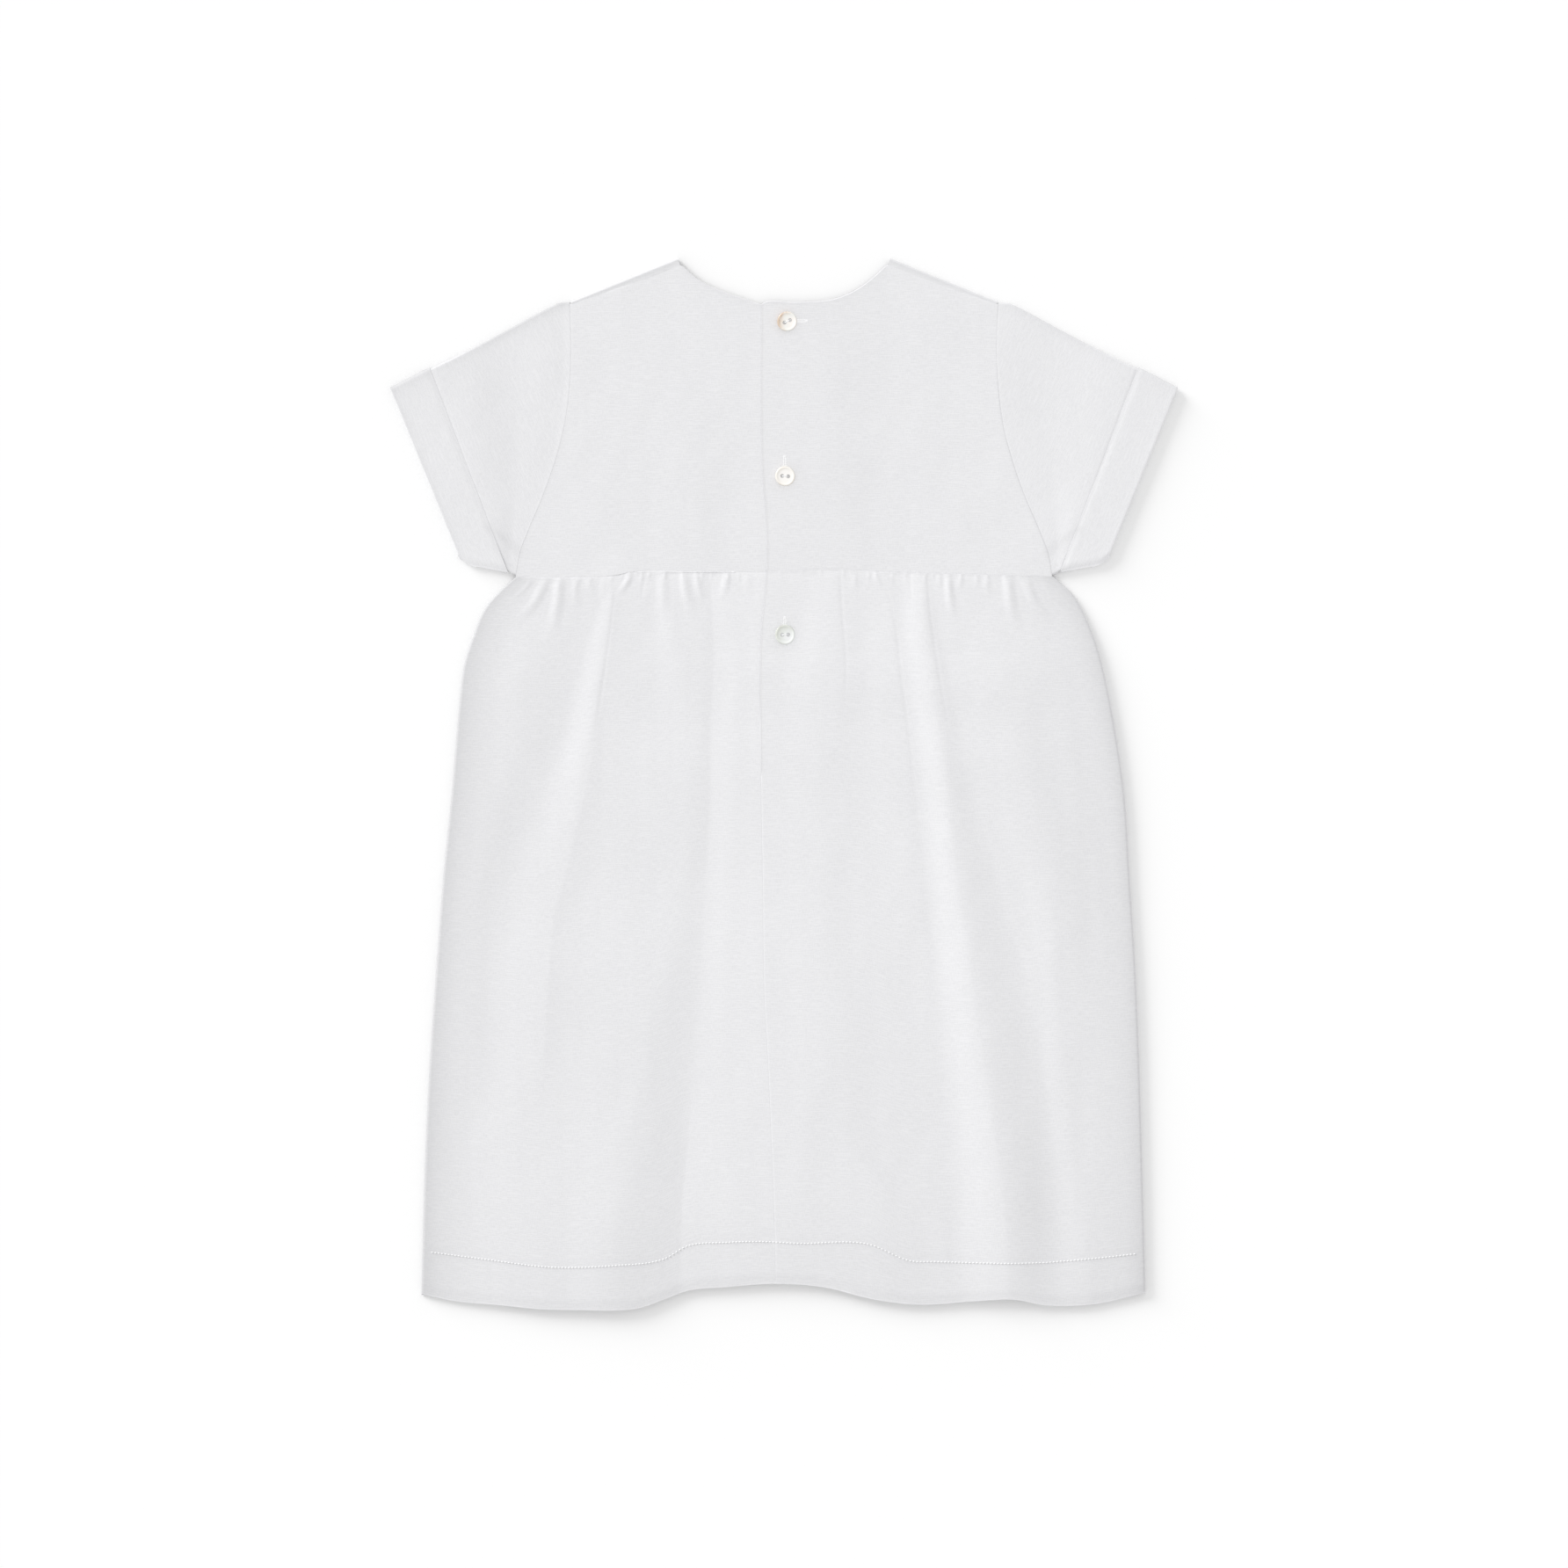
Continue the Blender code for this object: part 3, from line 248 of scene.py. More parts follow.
# Tucks that the gathering stitches draw in: where each crest starts at the seam, where it is at its lower
# end, how far down that is, the widths of its left and right flanks, and its height
Tuck = namedtuple("Tuck", "seam low reach left right height")
TUCKS = table(Tuck, (-131.6, -141.0, 9.0, 1.5, 1.5, 0.2), (-127.0, -139.5, 13.0, 2.0, 2.0, 0.3),
    (-120.6, -135.5, 24.0, 3.2, 3.6, 0.36), (-112.6, -117.2, 32.0, 3.4, 3.4, 0.4),
    (-105.0, -103.6, 17.0, 1.8, 2.6, 0.26), (-98.0, -93.4, 10.0, 2.0, 2.2, 0.22),
    (-90.4, -90.8, 14.0, 2.4, 2.6, 0.14), (-77.4, -83.4, 12.0, 2.6, 2.4, 0.34),
    (-70.6, -71.4, 9.0, 1.4, 1.8, 0.14), (-60.6, -61.2, 30.0, 3.6, 3.6, 0.3),
    (-50.4, -43.6, 26.0, 2.8, 3.4, 0.38), (-44.0, -39.6, 16.0, 2.0, 2.2, 0.28),
    (-29.0, -31.4, 16.0, 2.4, 2.6, 0.26), (-18.6, -17.0, 12.0, 2.6, 3.0, 0.12),
    (35.6, 36.0, 14.0, 2.4, 1.4, 0.14), (46.0, 50.6, 10.0, 2.2, 1.8, 0.24),
    (77.9, 78.2, 8.5, 2.0, 1.6, 0.2), (82.2, 85.8, 26.0, 2.6, 2.6, 0.38),
    (88.8, 87.4, 8.0, 1.8, 1.8, 0.2), (96.4, 97.0, 8.0, 1.8, 2.2, 0.14),
    (101.2, 101.8, 12.0, 2.4, 3.0, 0.18), (112.2, 117.4, 30.0, 3.4, 3.4, 0.42),
    (118.8, 122.0, 9.0, 1.8, 1.8, 0.22), (121.8, 134.8, 25.0, 3.8, 3.0, 0.44),
    (129.4, 138.8, 13.0, 2.2, 2.0, 0.34), (133.2, 142.0, 10.0, 1.6, 1.6, 0.22))
TUCK_BEND = 1.8  # above 1, the crest leans more the further down it is
TUCK_WIDENS = 0.5
TUCK_AT_SEAM = 0.4  # of its height
TUCK_STARTS = 5.0  # how far down it has its whole height
TUCK_FADES_FROM = 0.25
TUCK_FULLNESS = 1.35

# Small puckers right under the seam: where each is, half of its width, its height and how far down it runs
Pucker = namedtuple("Pucker", "x half_width height reach")
PUCKERS = table(Pucker, (-130.6, 1.4, 0.24, 4.0), (-124.0, 1.2, 0.2, 3.0), (-119.2, 1.4, 0.26, 4.5),
    (-112.4, 1.2, 0.22, 3.5), (-103.2, 1.3, 0.26, 4.0), (-97.0, 1.1, 0.22, 3.0), (-86.8, 1.4, 0.28, 4.0),
    (-81.0, 1.0, 0.2, 2.5), (-71.4, 1.1, 0.22, 3.0), (-67.6, 1.2, 0.32, 3.5), (-59.6, 1.2, 0.34, 3.0),
    (-50.8, 1.0, 0.22, 3.5), (-41.0, 1.1, 0.26, 4.0), (-36.4, 0.9, 0.22, 3.5), (-28.0, 1.2, 0.28, 5.0),
    (-22.6, 0.9, 0.2, 3.0), (-13.6, 1.1, 0.16, 3.0), (-1.4, 1.5, 0.14, 4.0), (9.0, 1.4, 0.12, 3.0),
    (18.4, 1.4, 0.16, 4.0), (29.8, 1.0, 0.24, 3.5), (33.6, 0.9, 0.2, 2.5), (42.4, 1.1, 0.26, 4.0),
    (46.0, 0.9, 0.2, 3.0), (54.4, 1.2, 0.24, 4.0), (60.8, 1.1, 0.26, 3.5), (70.6, 0.9, 0.28, 4.0),
    (74.6, 0.9, 0.24, 3.0), (88.6, 1.1, 0.24, 3.5), (96.6, 1.2, 0.22, 3.0), (101.8, 1.1, 0.26, 4.0),
    (110.6, 1.2, 0.26, 3.5), (117.6, 1.1, 0.24, 3.0), (126.8, 1.2, 0.22, 3.5), (131.0, 1.2, 0.26, 4.0))
PUCKER_AT_SEAM = 0.3
PUCKER_STARTS = 1.5
PUCKER_TAIL = 1.8
PUCKER_SLIM = 1.5
PUCKER_FULLNESS = 0.7

# The long folds are made of bands in which the cloth rises or falls as it goes to the right. A band has a
# row for each height that it passes. Lean puts its steepest part at its start (-1), in its middle (0) or at
# its end (1).
Band_row = namedtuple("Band_row", "y start end rise")
Flank = namedtuple("Flank", "lean rows")


def flank(lean, *rows):
    return Flank(lean, table(Band_row, *rows))


BAND_SOFT = 0.14  # a band's soft edges reach past it by this share of its width
BAND_TAIL = 0.5  # and the far edge of one that leans by this share
FLANKS = {
    "left_hang": flank(0.0, (84.0, -142.0, -128.0, 0.0), (62.3, -154.0, -131.0, 0.55),
        (31.5, -158.0, -138.0, 0.02), (-3.7, -161.0, -147.0, -0.07), (-47.7, -167.0, -157.0, -0.05),
        (-91.7, -170.0, -161.0, 0.09), (-135.7, -173.0, -163.0, 0.02), (-179.7, -175.0, -150.0, -0.18),
        (-221.5, -176.0, -153.0, -0.25), (-264.0, -176.0, -153.0, 0.0)),
    "right_hang": flank(0.0, (84.0, 128.0, 142.0, 0.0), (49.1, 136.0, 158.0, -0.2),
        (-3.7, 144.0, 166.0, -0.67), (-47.7, 156.0, 168.0, -0.75), (-91.7, 160.0, 171.0, -0.5),
        (-135.7, 162.0, 173.0, -0.27), (-179.7, 162.0, 175.0, -0.08), (-221.5, 163.0, 176.0, -0.07),
        (-264.0, 164.0, 176.0, 0.0)),
    "right_of_centre_low": flank(0.0, (-69.7, 40.0, 74.0, 0.0), (-135.7, 48.0, 78.0, -0.06),
        (-179.7, 50.0, 82.0, -0.22), (-221.5, 77.0, 85.0, -0.2), (-264.0, 78.0, 86.0, 0.0)),
    "middle_low": flank(0.0, (31.5, -88.0, -66.0, 0.0), (-3.7, -91.0, -65.0, 0.3),
        (-47.7, -98.0, -66.0, 0.26), (-91.7, -104.0, -60.0, 0.01), (-135.7, -79.0, -69.0, 0.03),
        (-179.7, -81.8, -78.5, 0.01), (-264.0, -84.0, -83.0, 0.0)),
    "left_low_fall": flank(0.0, (-135.7, -118.0, -106.0, 0.0), (-179.7, -119.0, -111.0, -0.03),
        (-221.5, -114.0, -112.6, 0.03), (-264.0, -112.8, -112.0, 0.0)),
    "right_low_flat": flank(0.0, (49.1, 81.0, 88.0, 0.0), (-3.7, 95.0, 104.0, -0.07),
        (-47.7, 106.0, 112.0, 0.1), (-91.7, 118.0, 124.0, 0.16), (-135.7, 127.6, 133.0, 0.07),
        (-179.7, 133.8, 138.0, 0.07), (-264.0, 137.0, 139.0, 0.0)),
    "left_side_fall": flank(0.0, (84.0, -128.0, -100.0, 0.0), (62.3, -130.2, -101.6, -0.47),
        (49.1, -132.9, -105.2, -0.7), (31.5, -137.3, -108.7, -0.88), (13.9, -141.7, -114.8, -1.22),
        (-3.7, -146.1, -120.6, -1.31), (-25.7, -152.7, -127.6, -1.47), (-47.7, -156.6, -132.9, -1.33),
        (-91.7, -160.8, -141.7, -0.8), (-135.7, -162.4, -145.2, -0.54), (-179.7, -164.0, -148.0, 0.0)),
    "left_ridge_rise": flank(0.0, (106.0, -93.0, -87.0, 0.1), (98.0, -91.9, -85.8, 0.32),
        (84.3, -94.6, -86.2, 0.58), (73.3, -98.6, -88.0, 0.76), (62.3, -101.6, -89.3, 0.9),
        (49.1, -105.2, -92.8, 0.88), (31.5, -108.7, -94.2, 1.13), (13.9, -114.8, -96.8, 1.44),
        (-3.7, -120.1, -99.0, 1.21), (-25.7, -127.2, -104.3, 1.02), (-47.7, -132.0, -108.7, 0.48),
        (-91.7, -141.2, -116.2, 0.6), (-135.7, -144.8, -118.8, 0.53), (-179.7, -149.6, -119.7, 0.4),
        (-221.5, -152.7, -114.9, 1.34), (-264.0, -152.7, -112.9, 1.3)),
    "left_ridge_fall": flank(-0.8, (104.0, -86.0, -82.4, 0.0), (84.3, -86.7, -82.8, -0.15),
        (62.3, -89.3, -84.0, -0.18), (49.1, -92.8, -88.0, -0.13), (31.5, -94.2, -88.9, -0.22),
        (13.9, -97.2, -89.3, -0.2), (-3.7, -99.4, -91.5, -0.26), (-25.7, -104.7, -95.0, -0.37),
        (-47.7, -109.6, -98.6, -0.47), (-69.7, -115.3, -102.1, -0.52), (-91.7, -117.0, -104.7, -0.53),
        (-135.7, -119.7, -107.4, -0.35), (-165.0, -121.0, -108.0, 0.0)),
    "left_low_rise": flank(0.0, (-105.0, -106.5, -80.0, 0.0), (-135.7, -105.6, -79.2, 0.03),
        (-157.7, -110.9, -79.2, -0.02), (-179.7, -110.9, -81.8, 0.26), (-201.7, -110.9, -81.8, 0.67),
        (-221.5, -112.6, -82.8, 1.12), (-264.0, -112.6, -84.0, 0.9)),
    "middle_rise": flank(0.2, (104.0, -63.4, -56.0, 0.1), (84.3, -63.8, -56.3, 0.56),
        (62.3, -66.0, -52.9, 0.7), (49.1, -63.4, -51.0, 0.48), (31.5, -65.0, -49.3, 0.35),
        (-3.7, -64.0, -48.0, 0.13), (-47.7, -64.0, -50.0, 0.0)),
    "centre_fall": flank(0.5, (106.0, -42.4, -38.4, -0.16), (98.0, -41.8, -37.4, -0.3),
        (84.3, -41.2, -36.0, -0.09), (73.3, -40.8, -35.4, -0.07), (62.3, -40.4, -35.0, -0.06),
        (49.1, -41.4, -35.6, -0.07), (31.5, -41.8, -36.4, -0.18), (-3.7, -46.6, -36.8, -0.33),
        (-47.7, -49.3, -39.0, -0.41), (-69.7, -54.6, -40.7, -0.63), (-91.7, -59.0, -41.8, -0.86),
        (-113.7, -63.4, -44.0, -1.24), (-135.7, -67.8, -46.2, -1.52), (-157.7, -73.0, -48.4, -1.95),
        (-179.7, -78.3, -50.2, -2.44), (-201.7, -81.0, -52.4, -2.8), (-221.5, -83.6, -53.7, -2.73),
        (-264.0, -86.2, -54.6, -1.8)),
    "centre_foot": flank(-0.5, (106.0, -36.0, -27.5, 0.22), (98.0, -35.8, -27.0, 0.42),
        (84.3, -35.2, -26.4, 0.53), (62.3, -34.4, -25.0, 0.73), (31.5, -36.1, -25.5, 0.7),
        (-3.7, -36.5, -26.4, 0.64), (-47.7, -38.7, -26.4, 0.84), (-91.7, -41.4, -29.0, 0.7),
        (-135.7, -45.8, -29.9, 0.83), (-179.7, -50.0, -30.8, 0.72), (-221.5, -53.3, -30.5, 0.36),
        (-264.0, -54.2, -28.3, 0.5)),
    "placket_rise": flank(0.0, (106.0, -21.9, -11.4, 0.22), (84.3, -24.0, -10.4, 0.22),
        (62.3, -29.0, -9.0, 0.67), (31.5, -33.0, -8.0, 0.61), (-3.7, -33.0, -8.0, 0.48),
        (-47.7, -36.0, -7.0, 0.87), (-91.7, -40.0, -6.0, 0.99), (-135.7, -42.0, -4.0, 1.22),
        (-179.7, -46.0, -2.0, 0.85), (-221.5, -48.0, 0.0, 0.62), (-264.0, -48.0, 0.0, 0.5)),
    "centre_rise": flank(0.0, (106.0, 11.3, 25.5, 0.26), (84.3, 8.0, 26.0, 0.66),
        (62.3, -6.0, 26.4, 1.31), (31.5, -8.0, 25.5, 1.48), (-3.7, -7.8, 21.0, 0.65),
        (-47.7, -7.4, 20.7, 0.76), (-91.7, -6.8, 22.0, 0.8), (-135.7, -6.0, 25.6, 0.94),
        (-179.7, -4.0, 12.0, 0.33), (-264.0, -2.0, 8.0, 0.0)),
    "centre_line": flank(0.0, (106.0, 26.2, 29.9, -0.08), (84.3, 27.0, 30.6, -0.06),
        (62.3, 28.6, 33.0, -0.04), (31.5, 26.4, 34.3, -0.04), (-3.7, 20.9, 33.0, 0.01),
        (-47.7, 18.9, 35.2, -0.22), (-91.7, 24.0, 38.6, -0.31), (-135.7, 26.4, 47.5, -0.33),
        (-179.7, 32.6, 49.3, -0.32), (-221.5, 47.5, 76.0, -0.8), (-264.0, 49.0, 78.0, -0.5)),
    "right_of_centre_rise": flank(0.0, (106.0, 35.2, 50.8, 0.16), (84.3, 37.4, 54.0, 0.33),
        (13.9, 38.7, 60.7, 0.59), (-47.7, 43.0, 65.0, 0.51), (-91.7, 48.0, 70.0, 0.0)),
    "right_ridge_foot": flank(0.0, (106.0, 50.4, 53.4, -0.02), (84.3, 53.4, 57.0, -0.11),
        (49.1, 56.8, 60.4, -0.04), (13.9, 60.7, 64.7, 0.0), (-25.7, 64.0, 68.0, -0.02),
        (-69.7, 69.0, 74.0, -0.09), (-110.0, 74.0, 78.0, 0.0)),
    "right_ridge_rise": flank(0.05, (106.0, 58.4, 69.0, 0.35), (98.0, 58.2, 69.5, 0.75),
        (84.3, 57.8, 70.4, 1.16), (49.1, 60.7, 74.8, 1.36), (31.5, 63.4, 77.0, 1.48),
        (-3.7, 66.4, 82.7, 2.07), (-47.7, 70.8, 88.0, 2.18), (-91.7, 74.8, 95.9, 2.4),
        (-135.7, 78.3, 101.6, 2.54), (-179.7, 82.7, 108.7, 2.91), (-221.5, 85.4, 112.6, 2.55),
        (-264.0, 86.2, 114.4, 2.25)),
    "right_ridge_fall": flank(-0.25, (106.0, 69.6, 74.0, -0.2), (98.0, 70.0, 74.4, -0.4),
        (84.3, 70.2, 76.4, -0.58), (62.3, 73.5, 81.0, -0.63), (31.5, 77.9, 88.0, -0.78),
        (-3.7, 83.2, 94.8, -0.91), (-47.7, 88.4, 105.6, -1.18), (-91.7, 95.9, 117.9, -1.7),
        (-135.7, 102.1, 127.6, -2.19), (-179.7, 108.9, 133.8, -2.89), (-221.5, 113.3, 135.5, -2.89),
        (-264.0, 114.6, 137.3, -2.4)),
    "outer_ridge_rise": flank(0.0, (49.1, 88.0, 98.6, 0.0), (13.9, 93.3, 111.8, 0.24),
        (-25.7, 106.0, 122.3, 0.49), (-69.7, 118.2, 135.5, 0.76), (-113.7, 126.0, 138.2, 0.52),
        (-157.7, 130.5, 142.8, 0.58), (-201.7, 136.0, 149.0, 0.66), (-221.5, 137.5, 153.0, 0.97),
        (-264.0, 138.0, 154.0, 0.34)),
    "outer_ridge_fall": flank(0.0, (66.0, 104.0, 134.0, 0.0), (49.1, 105.6, 135.5, -0.79),
        (31.5, 110.9, 133.8, -0.99), (13.9, 116.2, 138.2, -1.38), (-3.7, 120.6, 143.4, -1.3),
        (-25.7, 126.7, 152.2, -1.08), (-69.7, 137.4, 158.4, -0.58), (-113.7, 140.8, 160.2, -0.05),
        (-179.7, 146.0, 162.0, 0.36), (-264.0, 152.0, 164.0, -0.2))}

# How far the back swells up from its flat height between its sides
Swell = namedtuple("Swell", "y height")
SWELLS = table(Swell, (107.0, 0.1), (98.0, 0.4), (84.3, 0.6), (62.3, 0.8), (31.5, 0.95), (-3.7, 1.0),
    (-47.7, 0.95), (-91.7, 0.95), (-135.7, 1.05), (-179.7, 1.4), (-221.5, 1.55), (-264.0, 1.5))
SWELL_RUN = 45.0
SWELL_AT_SIDE = 0.3

# Creases, as fine troughs along a line: a row for each height that one passes
Crease = namedtuple("Crease", "y x depth")
CREASE_WIDTH = 0.7
CREASES = {
    "seam_tuck": table(Crease, (105.0, -69.9, 0.12), (98.0, -70.6, 0.12), (92.0, -71.0, 0.0)),
    "ridge_split": table(Crease, (106.0, 63.4, 0.1), (98.0, 63.4, 0.1), (90.0, 63.8, 0.0)),
    "left_ridge_foot": table(Crease, (98.0, -84.2, 0.04), (80.0, -86.6, 0.09), (58.0, -89.6, 0.1),
        (40.0, -92.2, 0.07), (10.0, -98.4, 0.05), (-30.0, -106.4, 0.0)),
    "centre_line": table(Crease, (105.0, 28.2, 0.08), (86.0, 29.2, 0.1), (63.0, 31.0, 0.09),
        (44.0, 30.6, 0.04), (20.0, 27.0, 0.0)),
    "right_ridge_left_foot": table(Crease, (98.0, 51.9, 0.03), (75.5, 56.4, 0.08), (57.9, 58.3, 0.1),
        (34.1, 61.4, 0.09), (10.3, 64.2, 0.07), (-12.0, 66.6, 0.04), (-60.0, 73.0, 0.0)),
    "right_ridge_right_foot": table(Crease, (104.0, 71.8, 0.08), (92.0, 72.6, 0.12), (71.0, 75.2, 0.12),
        (40.0, 80.3, 0.1), (20.0, 84.0, 0.0))}

# The slight unevenness of washed and pressed linen: two sets of waves across the dress, and one along it
Ripple = namedtuple("Ripple", "height length bend bend_length width shift sway sway_length")
RIPPLES = table(Ripple, (0.06, 7.1, 1.9, 37.0, 29.0, 0.8, 1.1, 41.0),
    (0.03, 3.3, 2.6, 19.0, 13.0, 0.0, 1.7, 23.0), (0.04, 8.9, 1.6, 27.0, 33.0, 0.0, 1.4, 43.0))
RIPPLES_START = 20.0

# --- Thread ------------------------------------------------------------------
Stitch = namedtuple("Stitch", "pitch length thickness lie")
HEM_STITCH = Stitch(1.7, 1.12, 0.62, 0.10)
HEM_STITCHED, HEM_STITCHES_FROM = 178.0, 0.015  # each half's line, and the share left out at its side
HOLE_STITCH = Stitch(0.27, 0.86, 0.26, -0.02)
HOLE_ROWS = 0.5  # how far each row of stitches is from the middle of the slit
BAR_STITCH = Stitch(0.22, 1.7, 0.26, 0.02)
BAR_STITCHES = 5
SHORT_STEP = 0.002  # to the place that a stitch of the hem points to

# --- Buttons -----------------------------------------------------------------
Ring = namedtuple("Ring", "radius height")
BUTTON_SECTION = table(Ring, (0.0, 1.66), (2.6, 1.68), (3.35, 1.72), (3.75, 1.8), (4.0, 1.9),
    (4.25, 1.96), (4.55, 1.95), (4.8, 1.84), (4.95, 1.64), (5.0, 1.36), (4.96, 0.95), (4.8, 0.55),
    (4.45, 0.25), (3.8, 0.06), (2.9, 0.0), (0.0, 0.0))
BUTTON_STEPS = 72
HOLE_RADIUS = 0.85
HOLE_SPACING = 3.0
HOLE_STEPS, HOLE_CUT = 24, 8.0
# How a button is turned and tilted, where its painted highlight is, and its colours from there outwards:
# its own pearl colours with painted highlight and shade
Button = namedtuple("Button", "name turn tilt bright colours")
BUTTONS = table(
    Button,
    ("button_top", 24.0, 0.0, (2.6, -0.8),
     ((0.99, 0.95, 0.91), (0.95, 0.91, 0.87), (0.91, 0.91, 0.87), (0.88, 0.81, 0.73), (0.72, 0.57, 0.45))),
    ("button_middle", -4.0, 0.0, (0.3, 0.4),
     ((0.99, 0.97, 0.94), (0.98, 0.96, 0.93), (0.96, 0.93, 0.88), (0.92, 0.86, 0.78), (0.74, 0.62, 0.5))),
    ("button_bottom", 2.0, 8.0, (1.4, -1.2),
     ((0.95, 0.96, 0.96), (0.9, 0.92, 0.9), (0.84, 0.86, 0.82), (0.77, 0.79, 0.73), (0.62, 0.63, 0.56))))
COLOUR_PLACES = (0.10, 0.34, 0.60, 0.85, 1.0)
COLOUR_REACH = 7.0  # from the painted highlight to the last colour
RIM_FROM, RIM_TO, RIM_SHADE = 4.5, 5.0, 0.78  # painted shade: the rim is darker from the first radius to the second
HOLE_SHADE, HOLE_SHADE_RUN = 0.55, 0.25  # painted shade: how much of its brightness the pearl keeps inside its holes
BUTTON_MIDDLE = 1.0  # height of a button's middle over its back
BUTTON_LOWER = 0.5  # how much lower than their nodes the buttons lie, on the thinner cloth

# Half of a strand's way from the underlap up through a hole to the button's middle: x, side and height
STRANDS, STRAND_SPACING, STRAND_RADIUS = 2, 0.30, 0.15
STRAND_TOP = (0.0, 1.15, 1.84)
STRAND_HALF = ((0.5, 1.0, -1.3), (0.7, 1.0, -0.4), (1.5, 0.5, 0.3), (1.42, 0.5, 1.1), (1.1, 1.0, 1.72))

# Where each buttonhole starts and ends
Hole = namedtuple("Hole", "name on start end")
BUTTONHOLES = table(
    Hole, ("buttonhole_top", "bodice", (-1.0, 231.9), (11.3, 231.7)),
    ("buttonhole_middle", "bodice", (0.6, 151.6), (0.4, 163.9)),
    ("buttonhole_bottom", "skirt", (0.3, 71.2), (0.5, 83.3)))

# --- Colours -----------------------------------------------------------------
LINEN_DARK, LINEN_LIGHT = (0.790, 0.789, 0.804), (0.846, 0.845, 0.859)
THREAD_DARK, THREAD_LIGHT = (0.84, 0.84, 0.845), (0.94, 0.94, 0.945)
WHITE = (1.0, 1.0, 1.0)
THREAD_PITCH = 0.55  # of the weave

# --- Studio ------------------------------------------------------------------
CAMERA_WIDTH = 784.96  # what the camera sees across at the dress
CAMERA_LENS, CAMERA_SENSOR = 110.0, 36.0
CAMERA_AIMS = 3.0  # the height at which it sees that width
KEY_SHARE, AMBIENT = 0.205, 0.80  # the shares of the light that makes the floor white
KEY_AZIMUTH, KEY_ELEVATION, KEY_SOFTNESS = 140.0, 16.0, 30.0
FLOOR_PAINTED_SHADOW, FLOOR_REACH = 0.90, 32.0  # the painted shadow on the floor: how bright it is beside the dress, and how far out that fades
FLOOR_HALF, FLOOR_BELOW = 12.0, 0.15


# --- Curves ------------------------------------------------------------------
def ease(share):
    """From 0 to 1 and level at both ends."""
    share = np.clip(share, 0.0, 1.0)
    return share * share * (3.0 - 2.0 * share)


def mix(first, second, share):
    return first + (second - first) * share


def close_to(distance, width):
    """1 on a line, and less and less on either side of it."""
    return np.exp(-(distance / width) ** 2)


def by_side(x, values):
    return np.where(x < 0.0, values["left"], values["right"])


def through(rows, place, value, at):
    """The value at each `at` on the smooth curve through a table's rows."""
    places = np.array([getattr(row, place) for row in rows])
    values = np.array([getattr(row, value) for row in rows])
    if places[0] > places[-1]:
        places, values = places[::-1], values[::-1]
    steps = np.diff(places)
    slopes = np.diff(values) / steps
    bends = np.concatenate((slopes[:1], (slopes[:-1] + slopes[1:]) / 2.0, slopes[-1:]))
    at = np.clip(at, places[0], places[-1])
    first = np.clip(np.searchsorted(places, at, side="right") - 1, 0, len(steps) - 1)
    t = (at - places[first]) / steps[first]
    return (values[first] * (1 + 2 * t) * (1 - t) ** 2 + bends[first] * steps[first] * t * (1 - t) ** 2
            + values[first + 1] * t * t * (3 - 2 * t) + bends[first + 1] * steps[first] * t * t * (t - 1))


def coons(low, high, left, right, across, up):
    """The points of the patch between four edges, each a function from 0 to 1."""
    start, end = np.zeros_like(across), np.ones_like(across)
    between_rows = mix(low(across), high(across), up)
    between_sides = mix(left(up), right(up), across)
    corners = mix(mix(low(start), high(start), up), mix(low(end), high(end), up), across)
    return between_rows + between_sides - corners


def waist(x, side):
    return through(WAIST[side], "x", "y", x)


def front_waist(x):
    return ARMHOLE[0].y + FRONT_WAIST_CURVE * (1.0 - (x / ARMHOLE[0].half_width) ** 2)


def armhole_x(y):
    return through(ARMHOLE, "y", "half_width", y)


def centre_back_x(y):
    return through(CENTRE_BACK, "y", "x", y)


def shoulder(from_neck, inset):
    """Points along the right shoulder fold, moved in towards the waist."""
    tip, point = np.array(SHOULDER_TIP), np.array(SHOULDER_POINT)
    along = (point - tip) / np.linalg.norm(point - tip)
    return np.stack((mix(tip[0], point[0], from_neck) + along[1] * inset,
                     mix(tip[1], point[1], from_neck) - along[0] * inset))


def band_width(from_neck):
    return through(SHOULDER_BAND, "from_neck", "width", from_neck)


# --- Relief of the cloth -----------------------------------------------------
def sides(y):
    return tuple(through(SKIRT_SIDE, "y", side, y) for side in HAND)


def from_side(x, y):
    """How far a point of the skirt is from its nearer side."""
    left, right = sides(y)
    return np.minimum(x - left, right - x)


def bands_rise(x, y):
    """Height that the bands give, level with itself again at the far side."""
    left, right = sides(y)
    rise, whole = np.zeros_like(x), np.zeros_like(x)
    for band in FLANKS.values():
        start, end, height = (through(band.rows, "y", column, y) for column in ("start", "end", "rise"))
        height = np.where((y <= band.rows[0].y) & (y >= band.rows[-1].y), height, 0.0)
        width, crisp = end - start, abs(band.lean)
        soft = BAND_SOFT * (1.0 - crisp) * width
        start = start - soft - max(band.lean, 0.0) * BAND_TAIL * width
        end = end + soft + max(-band.lean, 0.0) * BAND_TAIL * width
        up = np.clip((x - start) / (end - start), 0.0, 1.0)
        even = up ** 3 * (up * (6.0 * up - 15.0) + 10.0)
        leaning = up ** 3 if band.lean > 0.0 else 1.0 - (1.0 - up) ** 3
        rise += height * mix(even, leaning, crisp)
        whole += height
    return rise - whole * (x - left) / (right - left)


